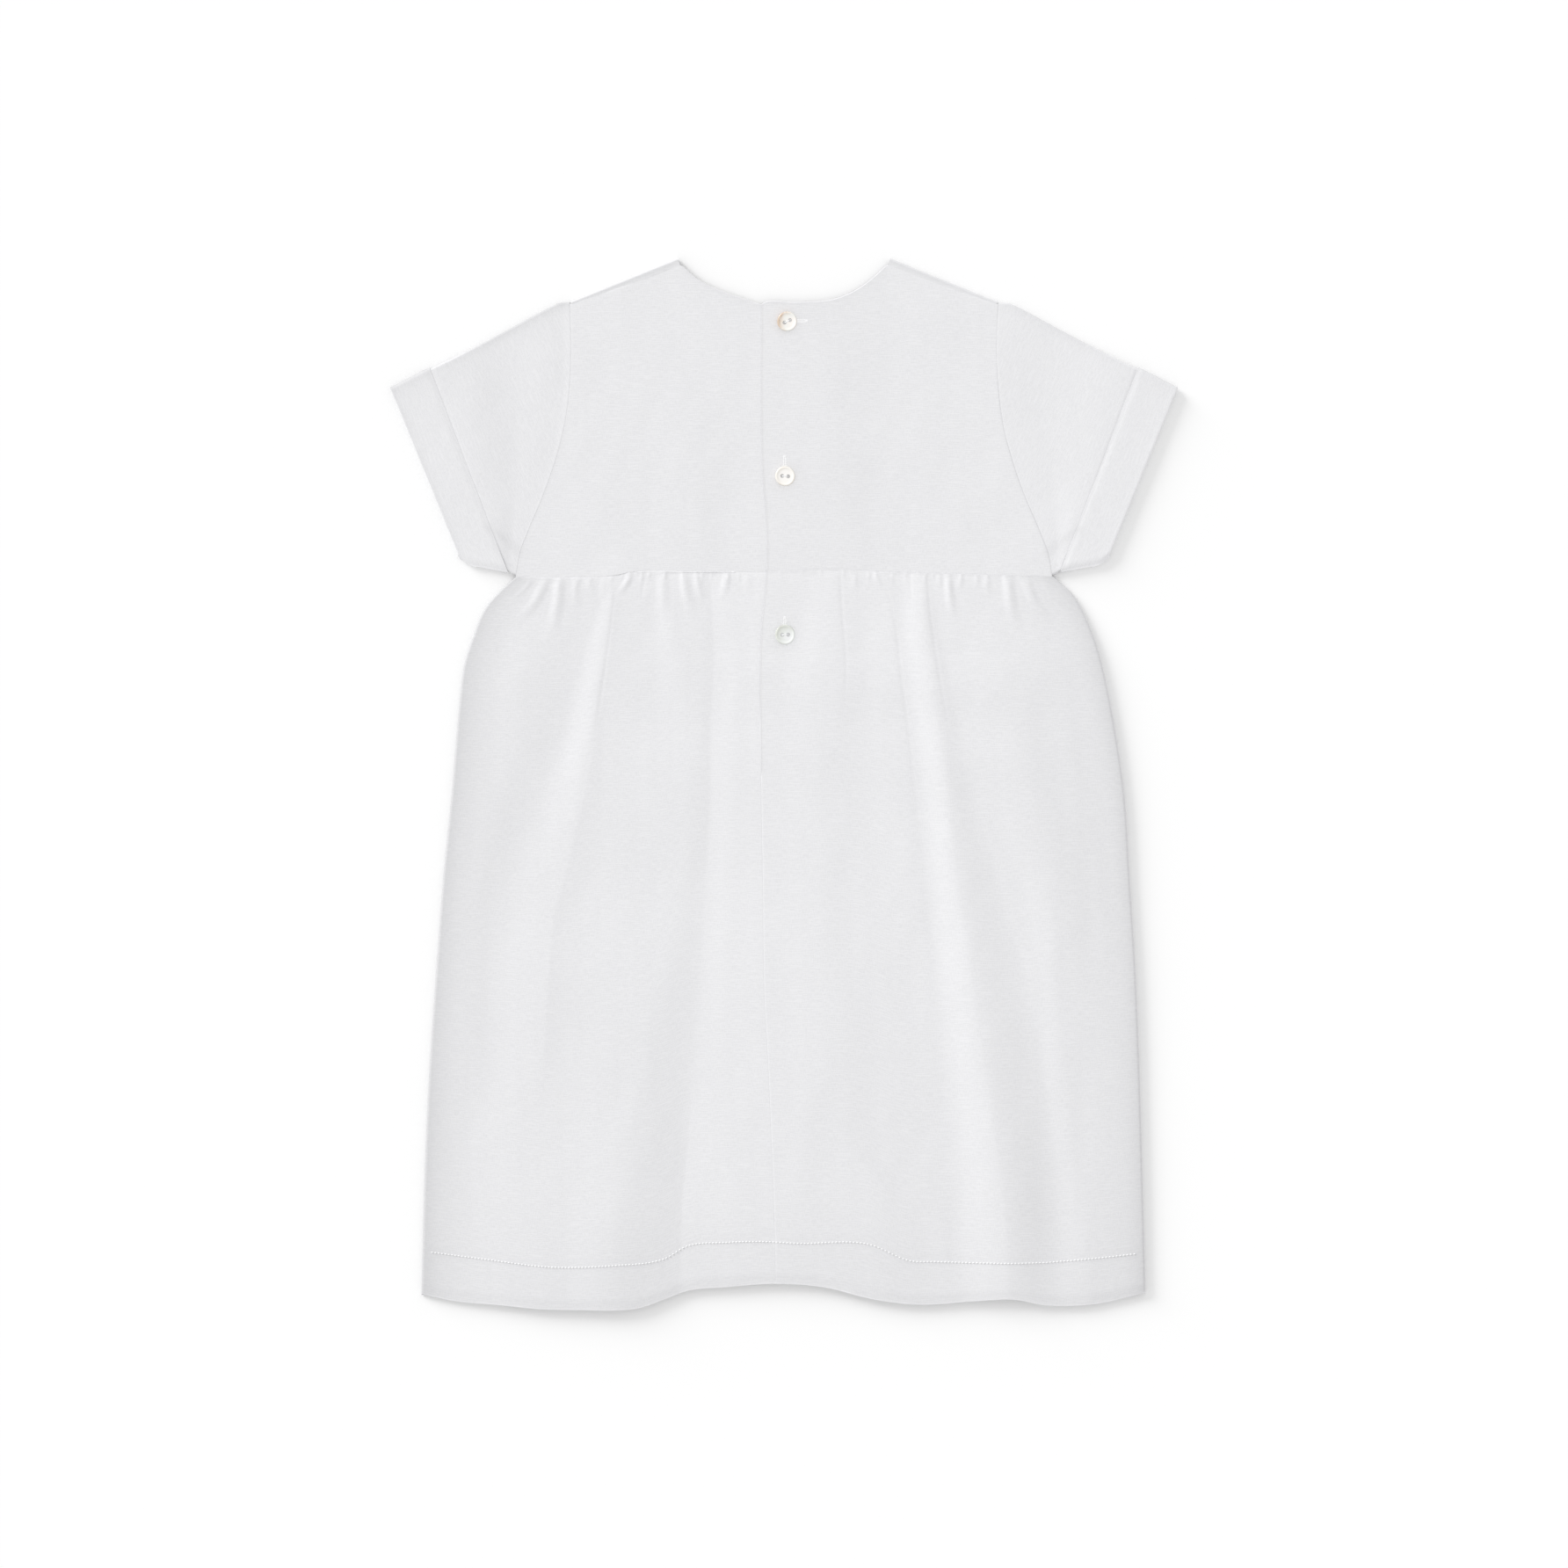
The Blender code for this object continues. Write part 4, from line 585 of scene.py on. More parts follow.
def tuck_rise(tuck, x, below):
    down = np.clip(below / tuck.reach, 0.0, 1.0)
    crest = mix(tuck.seam, tuck.low, down ** TUCK_BEND)
    wider = 1.0 + TUCK_WIDENS * down
    across = np.where(x < crest, (crest - x) / tuck.left, (x - crest) / tuck.right) / wider
    fades = ease((down - TUCK_FADES_FROM) / (1.0 - TUCK_FADES_FROM))
    strength = mix(TUCK_AT_SEAM, 1.0, ease(below / TUCK_STARTS)) * (1.0 - fades)
    return TUCK_FULLNESS * tuck.height * strength * (1.0 - ease(across)) * (below < tuck.reach)


def pucker_rise(pucker, x, below):
    across = np.clip(1.0 - ((x - pucker.x) / pucker.half_width) ** 2, 0.0, 1.0)
    fades = ease(below / pucker.reach / PUCKER_TAIL)
    strength = mix(PUCKER_AT_SEAM, 1.0, ease(below / PUCKER_STARTS)) * (1.0 - fades)
    return PUCKER_FULLNESS * pucker.height * across ** PUCKER_SLIM * strength


def gather_swell(below):
    """How much of their height the front's gathers have, from the seam down."""
    fading = (below - FRONT_GATHER_FADES) / (FRONT_GATHER_REACH - FRONT_GATHER_FADES)
    return ease(below / GATHER_FULL) * (1.0 - ease(fading))


def crease_depth(x, y):
    depth = np.zeros_like(x)
    for rows in CREASES.values():
        inside = (y <= rows[0].y) & (y >= rows[-1].y)
        across = close_to(x - through(rows, "y", "x", y), CREASE_WIDTH)
        depth += np.where(inside, through(rows, "y", "depth", y) * across, 0.0)
    return depth


def ripple(row, x, y):
    return (row.height * np.sin(x / row.length + row.bend * np.sin(y / row.bend_length))
            * np.sin(y / row.width + row.shift + row.sway * np.sin(x / row.sway_length)))


def ripples(x, y):
    wide, fine, along = RIPPLES
    return ripple(wide, x, y) + ripple(fine, x, y) + ripple(along, y, x)


def soft_max(height, soft):
    """The height, or nearly 0 where it would be less."""
    return (height + np.sqrt(height * height + soft * soft)) / 2.0


def back_skirt_rise(x, y, below, kept):
    """How far the back of the skirt stands above its flat height."""
    inside = from_side(x, y)
    swell = through(SWELLS, "y", "height", y)
    rise = swell * mix(ease(inside / SWELL_RUN), 1.0, SWELL_AT_SIDE) + bands_rise(x, y)
    tucks = sum(tuck_rise(tuck, x, below) for tuck in TUCKS)
    puckers = np.max([pucker_rise(pucker, x, below) for pucker in PUCKERS], axis=0)
    rise += (tucks + puckers - crease_depth(x, y)) * kept
    rise += ripples(x, y) * ease(below / RIPPLES_START)
    stand = by_side(x, SIDE_LIFT) * ease(below / SIDE_LIFT_RUN)
    return mix(stand, rise, ease(inside / SIDE_ROLL))


def hem_droop(below):
    """The share of its height that the back keeps as it comes down to the surface at the hem."""
    return 1.0 - HEM_DROOP * ease((below - SKIRT_LENGTH + HEM_DROOP_RUN) / HEM_DROOP_RUN)


def lap_comes_down(below):
    return ease((below - LAP_ENDS[0]) / (LAP_ENDS[1] - LAP_ENDS[0]))


def lap_rise(x, below):
    """How far the right back is lifted by the underlap beneath it."""
    across = 1.0 - ease((x - LAP_HELD) / (LAP_RUNS_OUT - LAP_HELD))
    return LAP_LIFT * across * (1.0 - lap_comes_down(below))


def underlap_sinks(across, below):
    """How far the underlap goes down where the lap above it does."""
    return LAP_LIFT * ease((across - 1.0) / UNDERLAP_SINKS_OVER) * lap_comes_down(below)


# --- Painted shade and painted light on the cloth: how much darker or lighter it is at each point -----
def painted_side_shade(x, y):
    """Painted shade: the cloth is darker towards the sides, where it turns under."""
    inside = np.maximum(from_side(x, y), 0.0)
    wide = by_side(x, WIDE_SIDE_SHADE) * np.exp(-inside / WIDE_SIDE_RUN)
    return 1.0 - by_side(x, SIDE_SHADE) * np.exp(-inside / SIDE_SHADE_RUN) - wide


# Painted shade at a folded edge, and painted light where the shade is below 0
def painted_edge_shade(distance, shade):
    distance = np.maximum(distance, 0.0)
    wide = EDGE_WIDE_SHARE * shade * np.exp(-distance / EDGE_WIDE_RUN)
    return 1.0 - shade * np.exp(-distance / EDGE_RUN) - wide


# Painted shade beside a free edge that lies on other cloth, and painted light where the shade is below 0
def painted_lap_shade(distance, shade=LAP_SHADE):
    return 1.0 - shade * close_to(distance, LAP_SHADE_WIDTH)


def painted_welt_shading(distance, side):
    """Painted highlight on the ridge beside a seam, and painted shade in the seam."""
    ridge = WELT_LIGHTER[side] * close_to(distance - WELT_WIDTH, WELT_LIGHT_WIDTH)
    return 1.0 + ridge - WELT_SEAM_SHADE * close_to(distance, WELT_SEAM_WIDTH)


def from_segment(x, y, start, end):
    """How far each point is from a straight stretch."""
    (x0, y0), (x1, y1) = start, end
    share = ((x - x0) * (x1 - x0) + (y - y0) * (y1 - y0)) / ((x1 - x0) ** 2 + (y1 - y0) ** 2)
    share = np.clip(share, 0.0, 1.0)
    return np.hypot(x - mix(x0, x1, share), y - mix(y0, y1, share))


# Painted shade along the soft bands
def painted_soft_shade(x, y):
    return 1.0 - sum(band.shade * close_to(from_segment(x, y, band.start, band.end), band.width)
                     for band in PAINTED_SHADE_BANDS)


# Painted shade over the lower half of the skirt and over the hem's band
def painted_hem_shade(below):
    lower = LOWER_SHADE * np.clip((below - LOWER_FROM) / LOWER_RUN, 0.0, 1.0)
    doubled = ease((below - SKIRT_LENGTH + HEM_DEPTH + HEM_SHADE_BEFORE) / HEM_SHADE_RUN)
    return 1.0 - lower - HEM_SHADE * doubled


def painted_hem_line_shade(from_line):
    """Painted shade right below the hem's stitches."""
    return 1.0 - HEM_LINE_SHADE * close_to(from_line - HEM_LINE_BELOW, HEM_LINE_WIDTH)


def hem_mark_tone(from_centre, from_line):
    """It is lighter where the centre seam crosses the hem's stitches."""
    away = (from_centre / HEM_MARK_WIDTH) ** 2 + (from_line / HEM_MARK_HEIGHT) ** 2
    return 1.0 + HEM_MARK * np.exp(-away)


# --- Making cloth ------------------------------------------------------------
def stations(length, step, first=True, last=True):
    """Shares along a line: close together at a shaped end, and even between."""
    start = EDGE_STOPS[-1] if first else 0.0
    end = length - (EDGE_STOPS[-1] if last else 0.0)
    places = list(np.linspace(start, end, max(round((end - start) / step), 1) + 1))
    if first:
        places = [*EDGE_STOPS[:-1], *places]
    if last:
        places += [length - stop for stop in reversed(EDGE_STOPS[:-1])]
    return np.array(places) / length


def rows_down(top_part, top_step, low_step):
    """Distances down the skirt, with the points closer together above."""
    low_part = SKIRT_LENGTH - top_part
    return np.concatenate((stations(top_part, top_step, last=False) * top_part,
                           top_part + stations(low_part, low_step, first=False)[1:] * low_part))


def from_edges(x, y):
    """How far each point of a sheet is from its four edges, along its rows and columns."""
    across = np.cumsum(np.hypot(np.diff(x, axis=1), np.diff(y, axis=1)), axis=1)
    along = np.cumsum(np.hypot(np.diff(x, axis=0), np.diff(y, axis=0)), axis=0)
    first = np.pad(across, ((0, 0), (1, 0)))
    low = np.pad(along, ((1, 0), (0, 0)))
    return first, first[:, -1:] - first, low, low[-1:] - low


def folded(distance):
    """How far the outer side drops towards a folded edge."""
    inside = np.clip(1.0 - distance / FOLD_ROUND, 0.0, 1.0)
    return FOLD_ROUND * (1.0 - np.sqrt(1.0 - inside ** 2))


def brought_down(parts, columns=(0, 0), rows=(0, 0)):
    """A sheet's places, the height last, with one more row or column straight below each folded edge."""
    drop = np.pad(np.zeros_like(parts[-1]), (rows, columns), constant_values=CLOTH - FOLD_ROUND)
    wider = [np.pad(part, (rows, columns), mode="edge") for part in parts]
    return (*wider[:-1], wider[-1] - drop)


def seamed(distance):
    """How far it dips into a seam."""
    return SEAM_DEPTH * np.clip(1.0 - distance / SEAM_WIDTH, 0.0, 1.0) ** 2


def welt(distance):
    """The ridge over the turnings beside a seam."""
    across = np.clip(1.0 - ((distance - WELT_WIDTH) / WELT_WIDTH) ** 2, 0.0, 1.0)
    return WELT * across ** 2


def face_up(side, *parts):
    """The same points, with a right-hand piece's columns turned round so that its outer side is up."""
    return [part[:, ::-1] if side == "right" else part for part in parts]


def mesh_of(sheet, name):
    mesh = bpy.data.meshes.new(name)
    sheet.to_mesh(mesh)
    sheet.free()
    return mesh


def placed(name, data):
    item = bpy.data.objects.new(name, data)
    bpy.context.scene.collection.objects.link(item)
    return item


def modified(item):
    """The mesh that an object's modifiers or bevel make."""
    bpy.context.view_layer.update()
    return bpy.data.meshes.new_from_object(item.evaluated_get(bpy.context.evaluated_depsgraph_get()))


def coat(piece, material, sharp=None):
    """Smooths a piece and gives it its material."""
    piece.data.shade_smooth()
    if sharp is not None:
        piece.data.set_sharp_from_angle(angle=math.radians(sharp))
    piece.data.materials.clear()
    piece.data.materials.append(material)


def cloth(node, points, weave, painted_shading=None, leave_out=None):
    """A piece of linen: a sheet with a point for each place in the rows of `points`, and its wall.

    weave gives each point's place on the flat cloth, and the painted shading how much darker or lighter it
    is there: painted shade and painted light.
    """
    name = f"cloth_{node}"
    rows, columns = points[0].shape
    sheet = bmesh.new()
    bmesh.ops.create_grid(sheet, x_segments=columns - 1, y_segments=rows - 1, size=0.5)
    mesh = mesh_of(sheet, name)
    places = np.empty(len(mesh.vertices) * 3)
    mesh.vertices.foreach_get("co", places)
    places = places.reshape(-1, 3)
    column = np.rint((places[:, 0] + 0.5) * (columns - 1)).astype(int)
    row = np.rint((places[:, 1] + 0.5) * (rows - 1)).astype(int)
    moved = np.stack([part[row, column] for part in points], axis=1) * MM
    mesh.vertices.foreach_set("co", moved.ravel())
    corners = np.empty(len(mesh.loops), dtype=int)
    mesh.loops.foreach_get("vertex_index", corners)
    flat = np.stack([part[row, column] for part in weave], axis=1) * MM
    mesh.uv_layers.new(name="weave").uv.foreach_set("vector", flat[corners].ravel())
    painted_shading = np.ones((rows, columns)) if painted_shading is None else painted_shading
    mesh.attributes.new("painted_shading", "FLOAT", "POINT").data.foreach_set("value", painted_shading[row, column])

    sheet = bmesh.new()
    sheet.from_mesh(mesh)
    if leave_out is not None:
        left_out = leave_out[row, column]
        faces = [face for face in sheet.faces if any(left_out[vert.index] for vert in face.verts)]
        bmesh.ops.delete(sheet, geom=faces, context="FACES")
    bmesh.ops.remove_doubles(sheet, verts=sheet.verts, dist=ONE_POINT * MM)
    sheet.to_mesh(mesh)
    sheet.free()

    piece = placed(name, mesh)
    wall = piece.modifiers.new("wall", "SOLIDIFY")
    wall.thickness = CLOTH * MM
    wall.offset = -1.0
    wall.use_quality_normals = True
    whole = modified(piece)
    piece.modifiers.clear()
    piece.data = whole
    whole.name = name
    bpy.data.meshes.remove(mesh)
    coat(piece, linen(), SHARP_CLOTH)
    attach(piece, "root")
    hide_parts(node)
    return piece


# --- Bodice ------------------------------------------------------------------
def bodice_back(side):
    """A back half, with a folded centre edge and neckline, and seams at waist, armhole and shoulder."""
    hand, neck, corner = HAND[side], NECK[side], SHOULDER_SHARE[side]
    side_x = hand * (ARMHOLE[0].half_width - SEAM_GAP)
    neck_tip = neck[0 if side == "left" else -1].x
    if side == "left":
        low_edge = top_edge = UNDERLAP_EDGE
    else:
        low_edge, top_edge = centre_back_x(WAIST["right"][0].y), LAP_EDGE

    def top(across):
        """From the armhole along the shoulder seam and the neckline to the centre edge."""
        from_neck = np.clip(1.0 - across / corner, 0.0, 1.0)
        point = shoulder(from_neck, band_width(from_neck) + SEAM_GAP)
        x = np.interp(across, (corner, 1.0), (neck_tip, top_edge))
        under = np.where((side == "left") & (x > LAP_EDGE), UNDERLAP_DROP, 0.0)
        highest = shoulder(0.0, band_width(0.0) + SEAM_GAP)[1]
        y = np.minimum(through(neck, "x", "y", x) - under, highest)
        on_shoulder = across <= corner
        return np.stack((np.where(on_shoulder, hand * (point[0] - SHOULDER_LEANS * from_neck), x),
                         np.where(on_shoulder, point[1], y)))

    def low(across):
        x = np.interp(across, (0.0, corner, 1.0), (side_x, hand * WAIST_BELOW_NECK, low_edge))
        return np.stack((x, waist(x, side) + SEAM_GAP))

    (low_y, centre_low), (top_y, centre_top) = low(np.arange(2.0))[1], top(np.arange(2.0))[1]

    def armhole(up):
        y = mix(low_y, top_y, up)
        return np.stack((hand * (armhole_x(y) - SEAM_GAP), y))

    def centre(up):
        y = mix(centre_low, centre_top, up)
        return np.stack((np.full_like(y, UNDERLAP_EDGE) if side == "left" else centre_back_x(y), y))

    shares = stations(abs(side_x - low_edge), BODICE_STEP)
    shares[np.argmin(abs(shares - corner))] = corner
    across, up = np.meshgrid(shares, stations(top_y - low_y, BODICE_STEP))
    x, y = coons(low, top, armhole, centre, across, up)
    to_armhole, to_centre, to_waist, to_top = from_edges(x, y)
    z = BACK_TOP + (lap_rise(x, 0.0) if side == "right" else 0.0) + ripples(x, y)
    swell = BODICE_SWELL * np.exp(-((x - BODICE_SWELL_X) / BODICE_SWELL_WIDTH) ** 2
                                  - ((y - BODICE_SWELL_Y) / BODICE_SWELL_WIDTH) ** 2)
    z += swell - seamed(to_waist) - seamed(to_armhole) - folded(to_centre)
    z -= np.where(across <= corner, seamed(to_top), folded(to_top))
    # painted shade in the lower armhole seam, at the lap, at the neckline and along the soft bands
    low_part = ease((ARMHOLE_SHADE_TOP - y) / ARMHOLE_SHADE_FADES)
    shade = 1.0 - ARMHOLE_SHADE * close_to(to_armhole, ARMHOLE_SHADE_WIDTH) * low_part
    if side == "right":
        shade *= painted_lap_shade(to_centre)
    shade *= np.where(across > corner, painted_edge_shade(to_top, NECK_SHADE), 1.0) * painted_soft_shade(x, y)
    x, y, shade, z = face_up(side, *brought_down((x, y, shade, z), columns=(0, 1), rows=(0, 1)))
    return cloth(f"bodice_back_{side}", (x, y, z), (x, y), shade)


def bodice_front():
    """The front lies face down, and its shoulders fold over to the seams on the back."""
    tip_x, tip_y = SHOULDER_TIP
    share = FRONT_SHOULDER_SHARE
    at_shoulder = stations(FRONT_SHOULDER_LENGTH, FRONT_STEP, last=False) * share
    between = mix(share, 1 - share, np.linspace(0, 1, FRONT_NECK_STEPS + 1)[1:-1])
    flat_shares = stations(FRONT_LENGTH, FRONT_STEP)
    flats = len(flat_shares)
    across, step = np.meshgrid(np.concatenate((at_shoulder, between, 1.0 - at_shoulder[::-1])),
                               np.arange(flats + TURN_STEPS + SHOULDER_BAND_STEPS))
    up = flat_shares[np.minimum(step, flats - 1)]
    hand = np.where(across < 0.5, -1.0, 1.0)
    from_end = np.minimum(across, 1.0 - across) / share
    from_neck = np.clip(1.0 - from_end, 0.0, 1.0)

    def low(across):
        x = mix(-1.0, 1.0, across) * (ARMHOLE[0].half_width - SEAM_GAP)
        return np.stack((x, front_waist(x) + SEAM_GAP))

    def top(across):
        hand = np.where(across < 0.5, -1.0, 1.0)
        end = np.minimum(across, 1.0 - across) / share
        point = shoulder(np.clip(1.0 - end, 0.0, 1.0), FOLD_RADIUS)
        x = (across - 0.5) / (0.5 - share) * (tip_x - FOLD_RADIUS)
        neckline = tip_y - FRONT_NECK_DEPTH * np.sqrt(np.clip(1.0 - (x / tip_x) ** 2, 0.0, 1.0))
        return np.stack((np.where(end <= 1.0, hand * point[0], x),
                         np.where(end <= 1.0, point[1], neckline - FOLD_RADIUS)))

    def armhole(hand, up):
        y = mix(ARMHOLE[0].y, float(top(np.zeros(1))[1][0]), up)
        return np.stack((hand * (armhole_x(y) - SEAM_GAP), y))

    x, y = coons(low, top, lambda up: armhole(-1.0, up), lambda up: armhole(1.0, up), across, up)
    to_left, to_right, to_waist, to_neck = from_edges(x, y)
    z = seamed(to_waist) + seamed(np.minimum(to_left, to_right))
    z += np.where(from_end <= 1.0, 0.0, folded(to_neck))
    # past the flat part, the shoulders turn over their fold and go on as the band
    turn = np.clip((step - flats + 1) / TURN_STEPS, 0.0, 1.0) * np.pi
    onto_band = np.clip((step - flats + 1 - TURN_STEPS) / float(SHOULDER_BAND_STEPS), 0.0, 1.0)
    inset = FOLD_RADIUS - FOLD_RADIUS * np.sin(turn)
    inset = mix(inset, np.maximum(band_width(from_neck), FOLD_RADIUS + 0.1), onto_band)
    turned = shoulder(from_neck, inset)
    beyond_fold = step >= flats
    x = np.where(beyond_fold, hand * (turned[0] - SHOULDER_LEANS * from_neck), x)
    y = np.where(beyond_fold, turned[1], y)
    z = np.where(beyond_fold, FOLD_RADIUS * (1.0 - np.cos(turn)), z)
    # and between them, one row goes straight up from the folded neckline
    on_neckline = from_end > PAST_SHOULDER
    at_neck = (step == flats) & on_neckline
    x, y = (np.where(at_neck, part[flats - 1], part) for part in (x, y))
    z = np.where(at_neck, CLOTH, z)
    leave_out = (step > flats) & on_neckline
    # painted shade on the shoulder fold and its band
    fold_painted_shade = by_side(hand, SHOULDER_FOLD_PAINTED_SHADE)
    shade = np.where(beyond_fold, mix(fold_painted_shade, SHOULDER_BAND_PAINTED_SHADE, onto_band), 1.0)
    x, y, z, shade, leave_out = face_up("right", x, y, z, shade, leave_out)
    return cloth("bodice_front", (x, y, z), (x, y), shade, leave_out)


# --- Skirt -------------------------------------------------------------------
def skirt_back_points(across, down, side):
    """Points of a back half: 0 to 1 from its side to the centre, and to 2 over the underlap."""
    below = down * SKIRT_LENGTH
    hem_share = 1.0 - HEM_DEPTH / SKIRT_LENGTH

    def x_at(y):
        centre = centre_back_x(y) + HAND[side] * SEAM_GAP
        fold = through(SKIRT_SIDE, "y", side, y) - HAND[side] * SIDE_FOLD_WIDTH
        panel = mix(fold, centre, np.minimum(across, 1.0))
        return panel + (UNDERLAP_EDGE - centre) * np.maximum(across - 1.0, 0.0)

    top_y = waist(x_at(np.full_like(across, ARMHOLE[0].y)), side) - SEAM_GAP
    low_x = x_at(np.full_like(across, HEM[0].y))
    seam_y, hem_y = through(HEM_SEAM, "x", "y", low_x), through(HEM, "x", "y", low_x)
    y = np.where(down < hem_share, mix(top_y, seam_y, down / hem_share),
                 mix(seam_y, hem_y, (down - hem_share) / (1.0 - hem_share)))
    x = x_at(y)
    kept = ease((LAP_EDGE - LAP_CLEARANCE - x) / LAP_CLEARS_OVER) if side == "left" else 1.0
    z = BACK_TOP + back_skirt_rise(x, y, below, kept) * hem_droop(below)
    z = z - HEM_SINKS * ease((below - SKIRT_LENGTH + HEM_SINK_RUN) / HEM_SINK_RUN)
    z = HEM_LOWEST + soft_max(z - HEM_LOWEST, HEM_LOWEST_SOFT)
    z = z + (lap_rise(x, below) if side == "right" else -underlap_sinks(across, below))
    z = z - HEM_GROOVE * close_to((down - hem_share) * SKIRT_LENGTH, HEM_GROOVE_WIDTH)
    return x, y, z, below


def skirt_back(side):
    hand = HAND[side]
    columns = [np.zeros(TURN_STEPS), stations(PANEL_WIDTH, PANEL_STEP, first=False)]
    if side == "left":
        columns.append(1.0 + np.linspace(0.0, 1.0, UNDERLAP_STEPS + 1)[1:])
    rows = rows_down(TOP_PART, TOP_STEP, LOW_STEP)
    rows[np.argmin(abs(rows - OPENING_END))] = OPENING_END
    across, down = np.meshgrid(np.concatenate(columns), rows / SKIRT_LENGTH)
    x, y, z, below = skirt_back_points(across, down, side)
    _, _, to_waist, to_hem = from_edges(x, y)
    to_centre = np.where(across <= 1.0, abs(x - centre_back_x(y)), FAR)
    opened = below < OPENING_END
    z = z - np.where(opened, folded(to_centre) if side == "right" else 0.0, seamed(to_centre))
    z = z - seamed(to_waist) - folded(to_hem)
    # round the side, the sheet turns down and under in half of an oval
    column = np.arange(across.shape[1])
    turn = np.clip((TURN_STEPS - column) / TURN_STEPS, 0.0, 1.0) * np.pi
    z = z - (z / 2.0) * (1.0 - np.cos(turn))
    x = x + hand * SIDE_FOLD_WIDTH * np.sin(turn)
    # painted shade and painted light at the sides, under the waist seam, on the side fold, at the hem's
    # edge, beside the lap and below the hem's stitches
    shade = painted_side_shade(x, y) * painted_hem_shade(below) * (1.0 + SEAM_TONE[side] * close_to(to_waist, SEAM_TONE_RUN))
    shade *= 1.0 + FOLD_LIGHTER[side] * np.sin(np.minimum(turn, np.pi / 2.0))
    shade *= 1.0 + HEM_EDGE_LIGHTER * close_to(to_hem, HEM_EDGE_WIDTH)
    beside_lap = 1.0 + BESIDE_LAP * close_to(to_centre - BESIDE_LAP_AT, BESIDE_LAP_WIDTH)
    centre_seam = 1.0 + CENTRE_SEAM_LIGHTER * close_to(to_centre, CENTRE_SEAM_WIDTH)
    shade *= np.where(opened, painted_lap_shade(to_centre) if side == "right" else beside_lap, centre_seam)
    from_line = below - SKIRT_LENGTH + HEM_DEPTH
    shade *= painted_hem_line_shade(from_line)
    shade *= hem_mark_tone(x - centre_back_x(y), from_line)
    weave_x = mix(hand * WEAVE_HALF, 0.0, across) * mix(WEAVE_TOP, WEAVE_LOW, down)
    weave_x = weave_x - hand * turn * WEAVE_ROUND_SIDE
    x, y, below, shade, weave_x, across, z = face_up(side, *(part[::-1] for part in brought_down(
        (x, y, below, shade, weave_x, across, z), columns=(0, 0 if side == "left" else 1), rows=(0, 1))))
    leave_out = (across > 1.0) & (below > OPENING_END + 0.01)
    return cloth(f"skirt_back_{side}", (x, y, z), (weave_x, -below), shade, leave_out)


def skirt_front():
    """The front lies face down, and only its hem and sides show from above the surface."""
    rows = rows_down(FRONT_TOP_PART, FRONT_TOP_STEP, FRONT_LOW_STEP)
    across, down = np.meshgrid(stations(2.0 * WEAVE_HALF, FRONT_SKIRT_STEP), rows / SKIRT_LENGTH)
    below = down * SKIRT_LENGTH

    def x_at(y):
        left, right = sides(y)
        return mix(left + FRONT_INSET, right - FRONT_INSET, across)

    top_y = front_waist(x_at(np.full_like(across, ARMHOLE[0].y))) - SEAM_GAP
    hem_y = through(HEM, "x", "y", x_at(np.full_like(across, HEM[0].y)))
    y = mix(top_y, hem_y, down)
    x = x_at(y)
    _, _, to_waist, to_hem = from_edges(x, y)
    drift = FRONT_GATHERS_DRIFT * np.sin(FRONT_GATHERS_WAVES * across)
    wave = np.sin(np.pi * FRONT_GATHERS * across + drift) ** 2
    z = FRONT_GATHER_RISE * gather_swell(below) * wave * ease(from_side(x, y) / SIDE_ROLL)
    z += seamed(to_waist) + folded(to_hem)
    x, y, across, below, raised = brought_down((x, y, across, below, -z), rows=(0, 1))
    return cloth("skirt_front", (x, y, -raised), (mix(-FRONT_WEAVE_HALF, FRONT_WEAVE_HALF, across), -below))


# --- Sleeves and cuffs -------------------------------------------------------
def along_line(line, share):
    return np.stack((mix(line[0][0], line[1][0], share), mix(line[0][1], line[1][1], share)))


def armhole_point(share):
    y = mix(ARMPIT_Y, SHOULDER_POINT[1], share)
    return np.stack((-armhole_x(y) - SEAM_GAP, y))


def sleeve_plan(share, out):
    """Points of the left sleeve: out is 0 at the armhole, 1 at the cuff's free edge, 2 at its outer."""
    in_sleeve = np.minimum(out, 1.0)
    point = mix(armhole_point(share), along_line(CUFF_LINE, share), in_sleeve)
    straight = mix(armhole_point(np.ones(1)), along_line(CUFF_LINE, np.ones(1)), HEAD.out)
    corner = np.array(SLEEVE_HEAD) - straight[:, 0]
    bent = ease((share - HEAD.from_seam) / (1.0 - HEAD.from_seam))
    bent = bent * ease(in_sleeve / HEAD.out) * (1.0 - ease((in_sleeve - HEAD.out) / HEAD.fades))
    point = point + corner.reshape(2, *([1] * np.ndim(bent))) * bent
    in_cuff = mix(along_line(CUFF_LINE, share), along_line(CUFF_EDGE, share), out - 1.0)
    return np.where(out > 1.0, in_cuff, point)


def ring(step, length, insets, rounds, radius):
    """A place round a flattened tube: its share of the way from the armpit edge to the top, and its height.

    The steps go along the bottom, round the top edge, back along the top side and round the armpit edge.
    The insets say where the turns at the armpit and top edges start, and the rounds how far they reach.
    """
    half = SLEEVE_FLATS + TURN_STEPS
    step = step % (2 * half)
    on_top = step >= half
    step = np.where(on_top, step - half, step)
    low, high = (inset / length for inset in insets)
    along = np.minimum(step / SLEEVE_FLATS, 1.0)
    turn = np.clip((step - SLEEVE_FLATS) / TURN_STEPS, 0.0, 1.0) * np.pi
    flat = step <= SLEEVE_FLATS
    bottom = np.where(flat, mix(low, 1.0 - high, along), 1.0 - high + rounds[1] / length * np.sin(turn))
    top = np.where(flat, mix(1.0 - high, low, along), low - rounds[0] / length * np.sin(turn))
    height = np.where(flat, -radius, -radius * np.cos(turn))
    return np.where(on_top, top, bottom), np.where(on_top, -height, height)


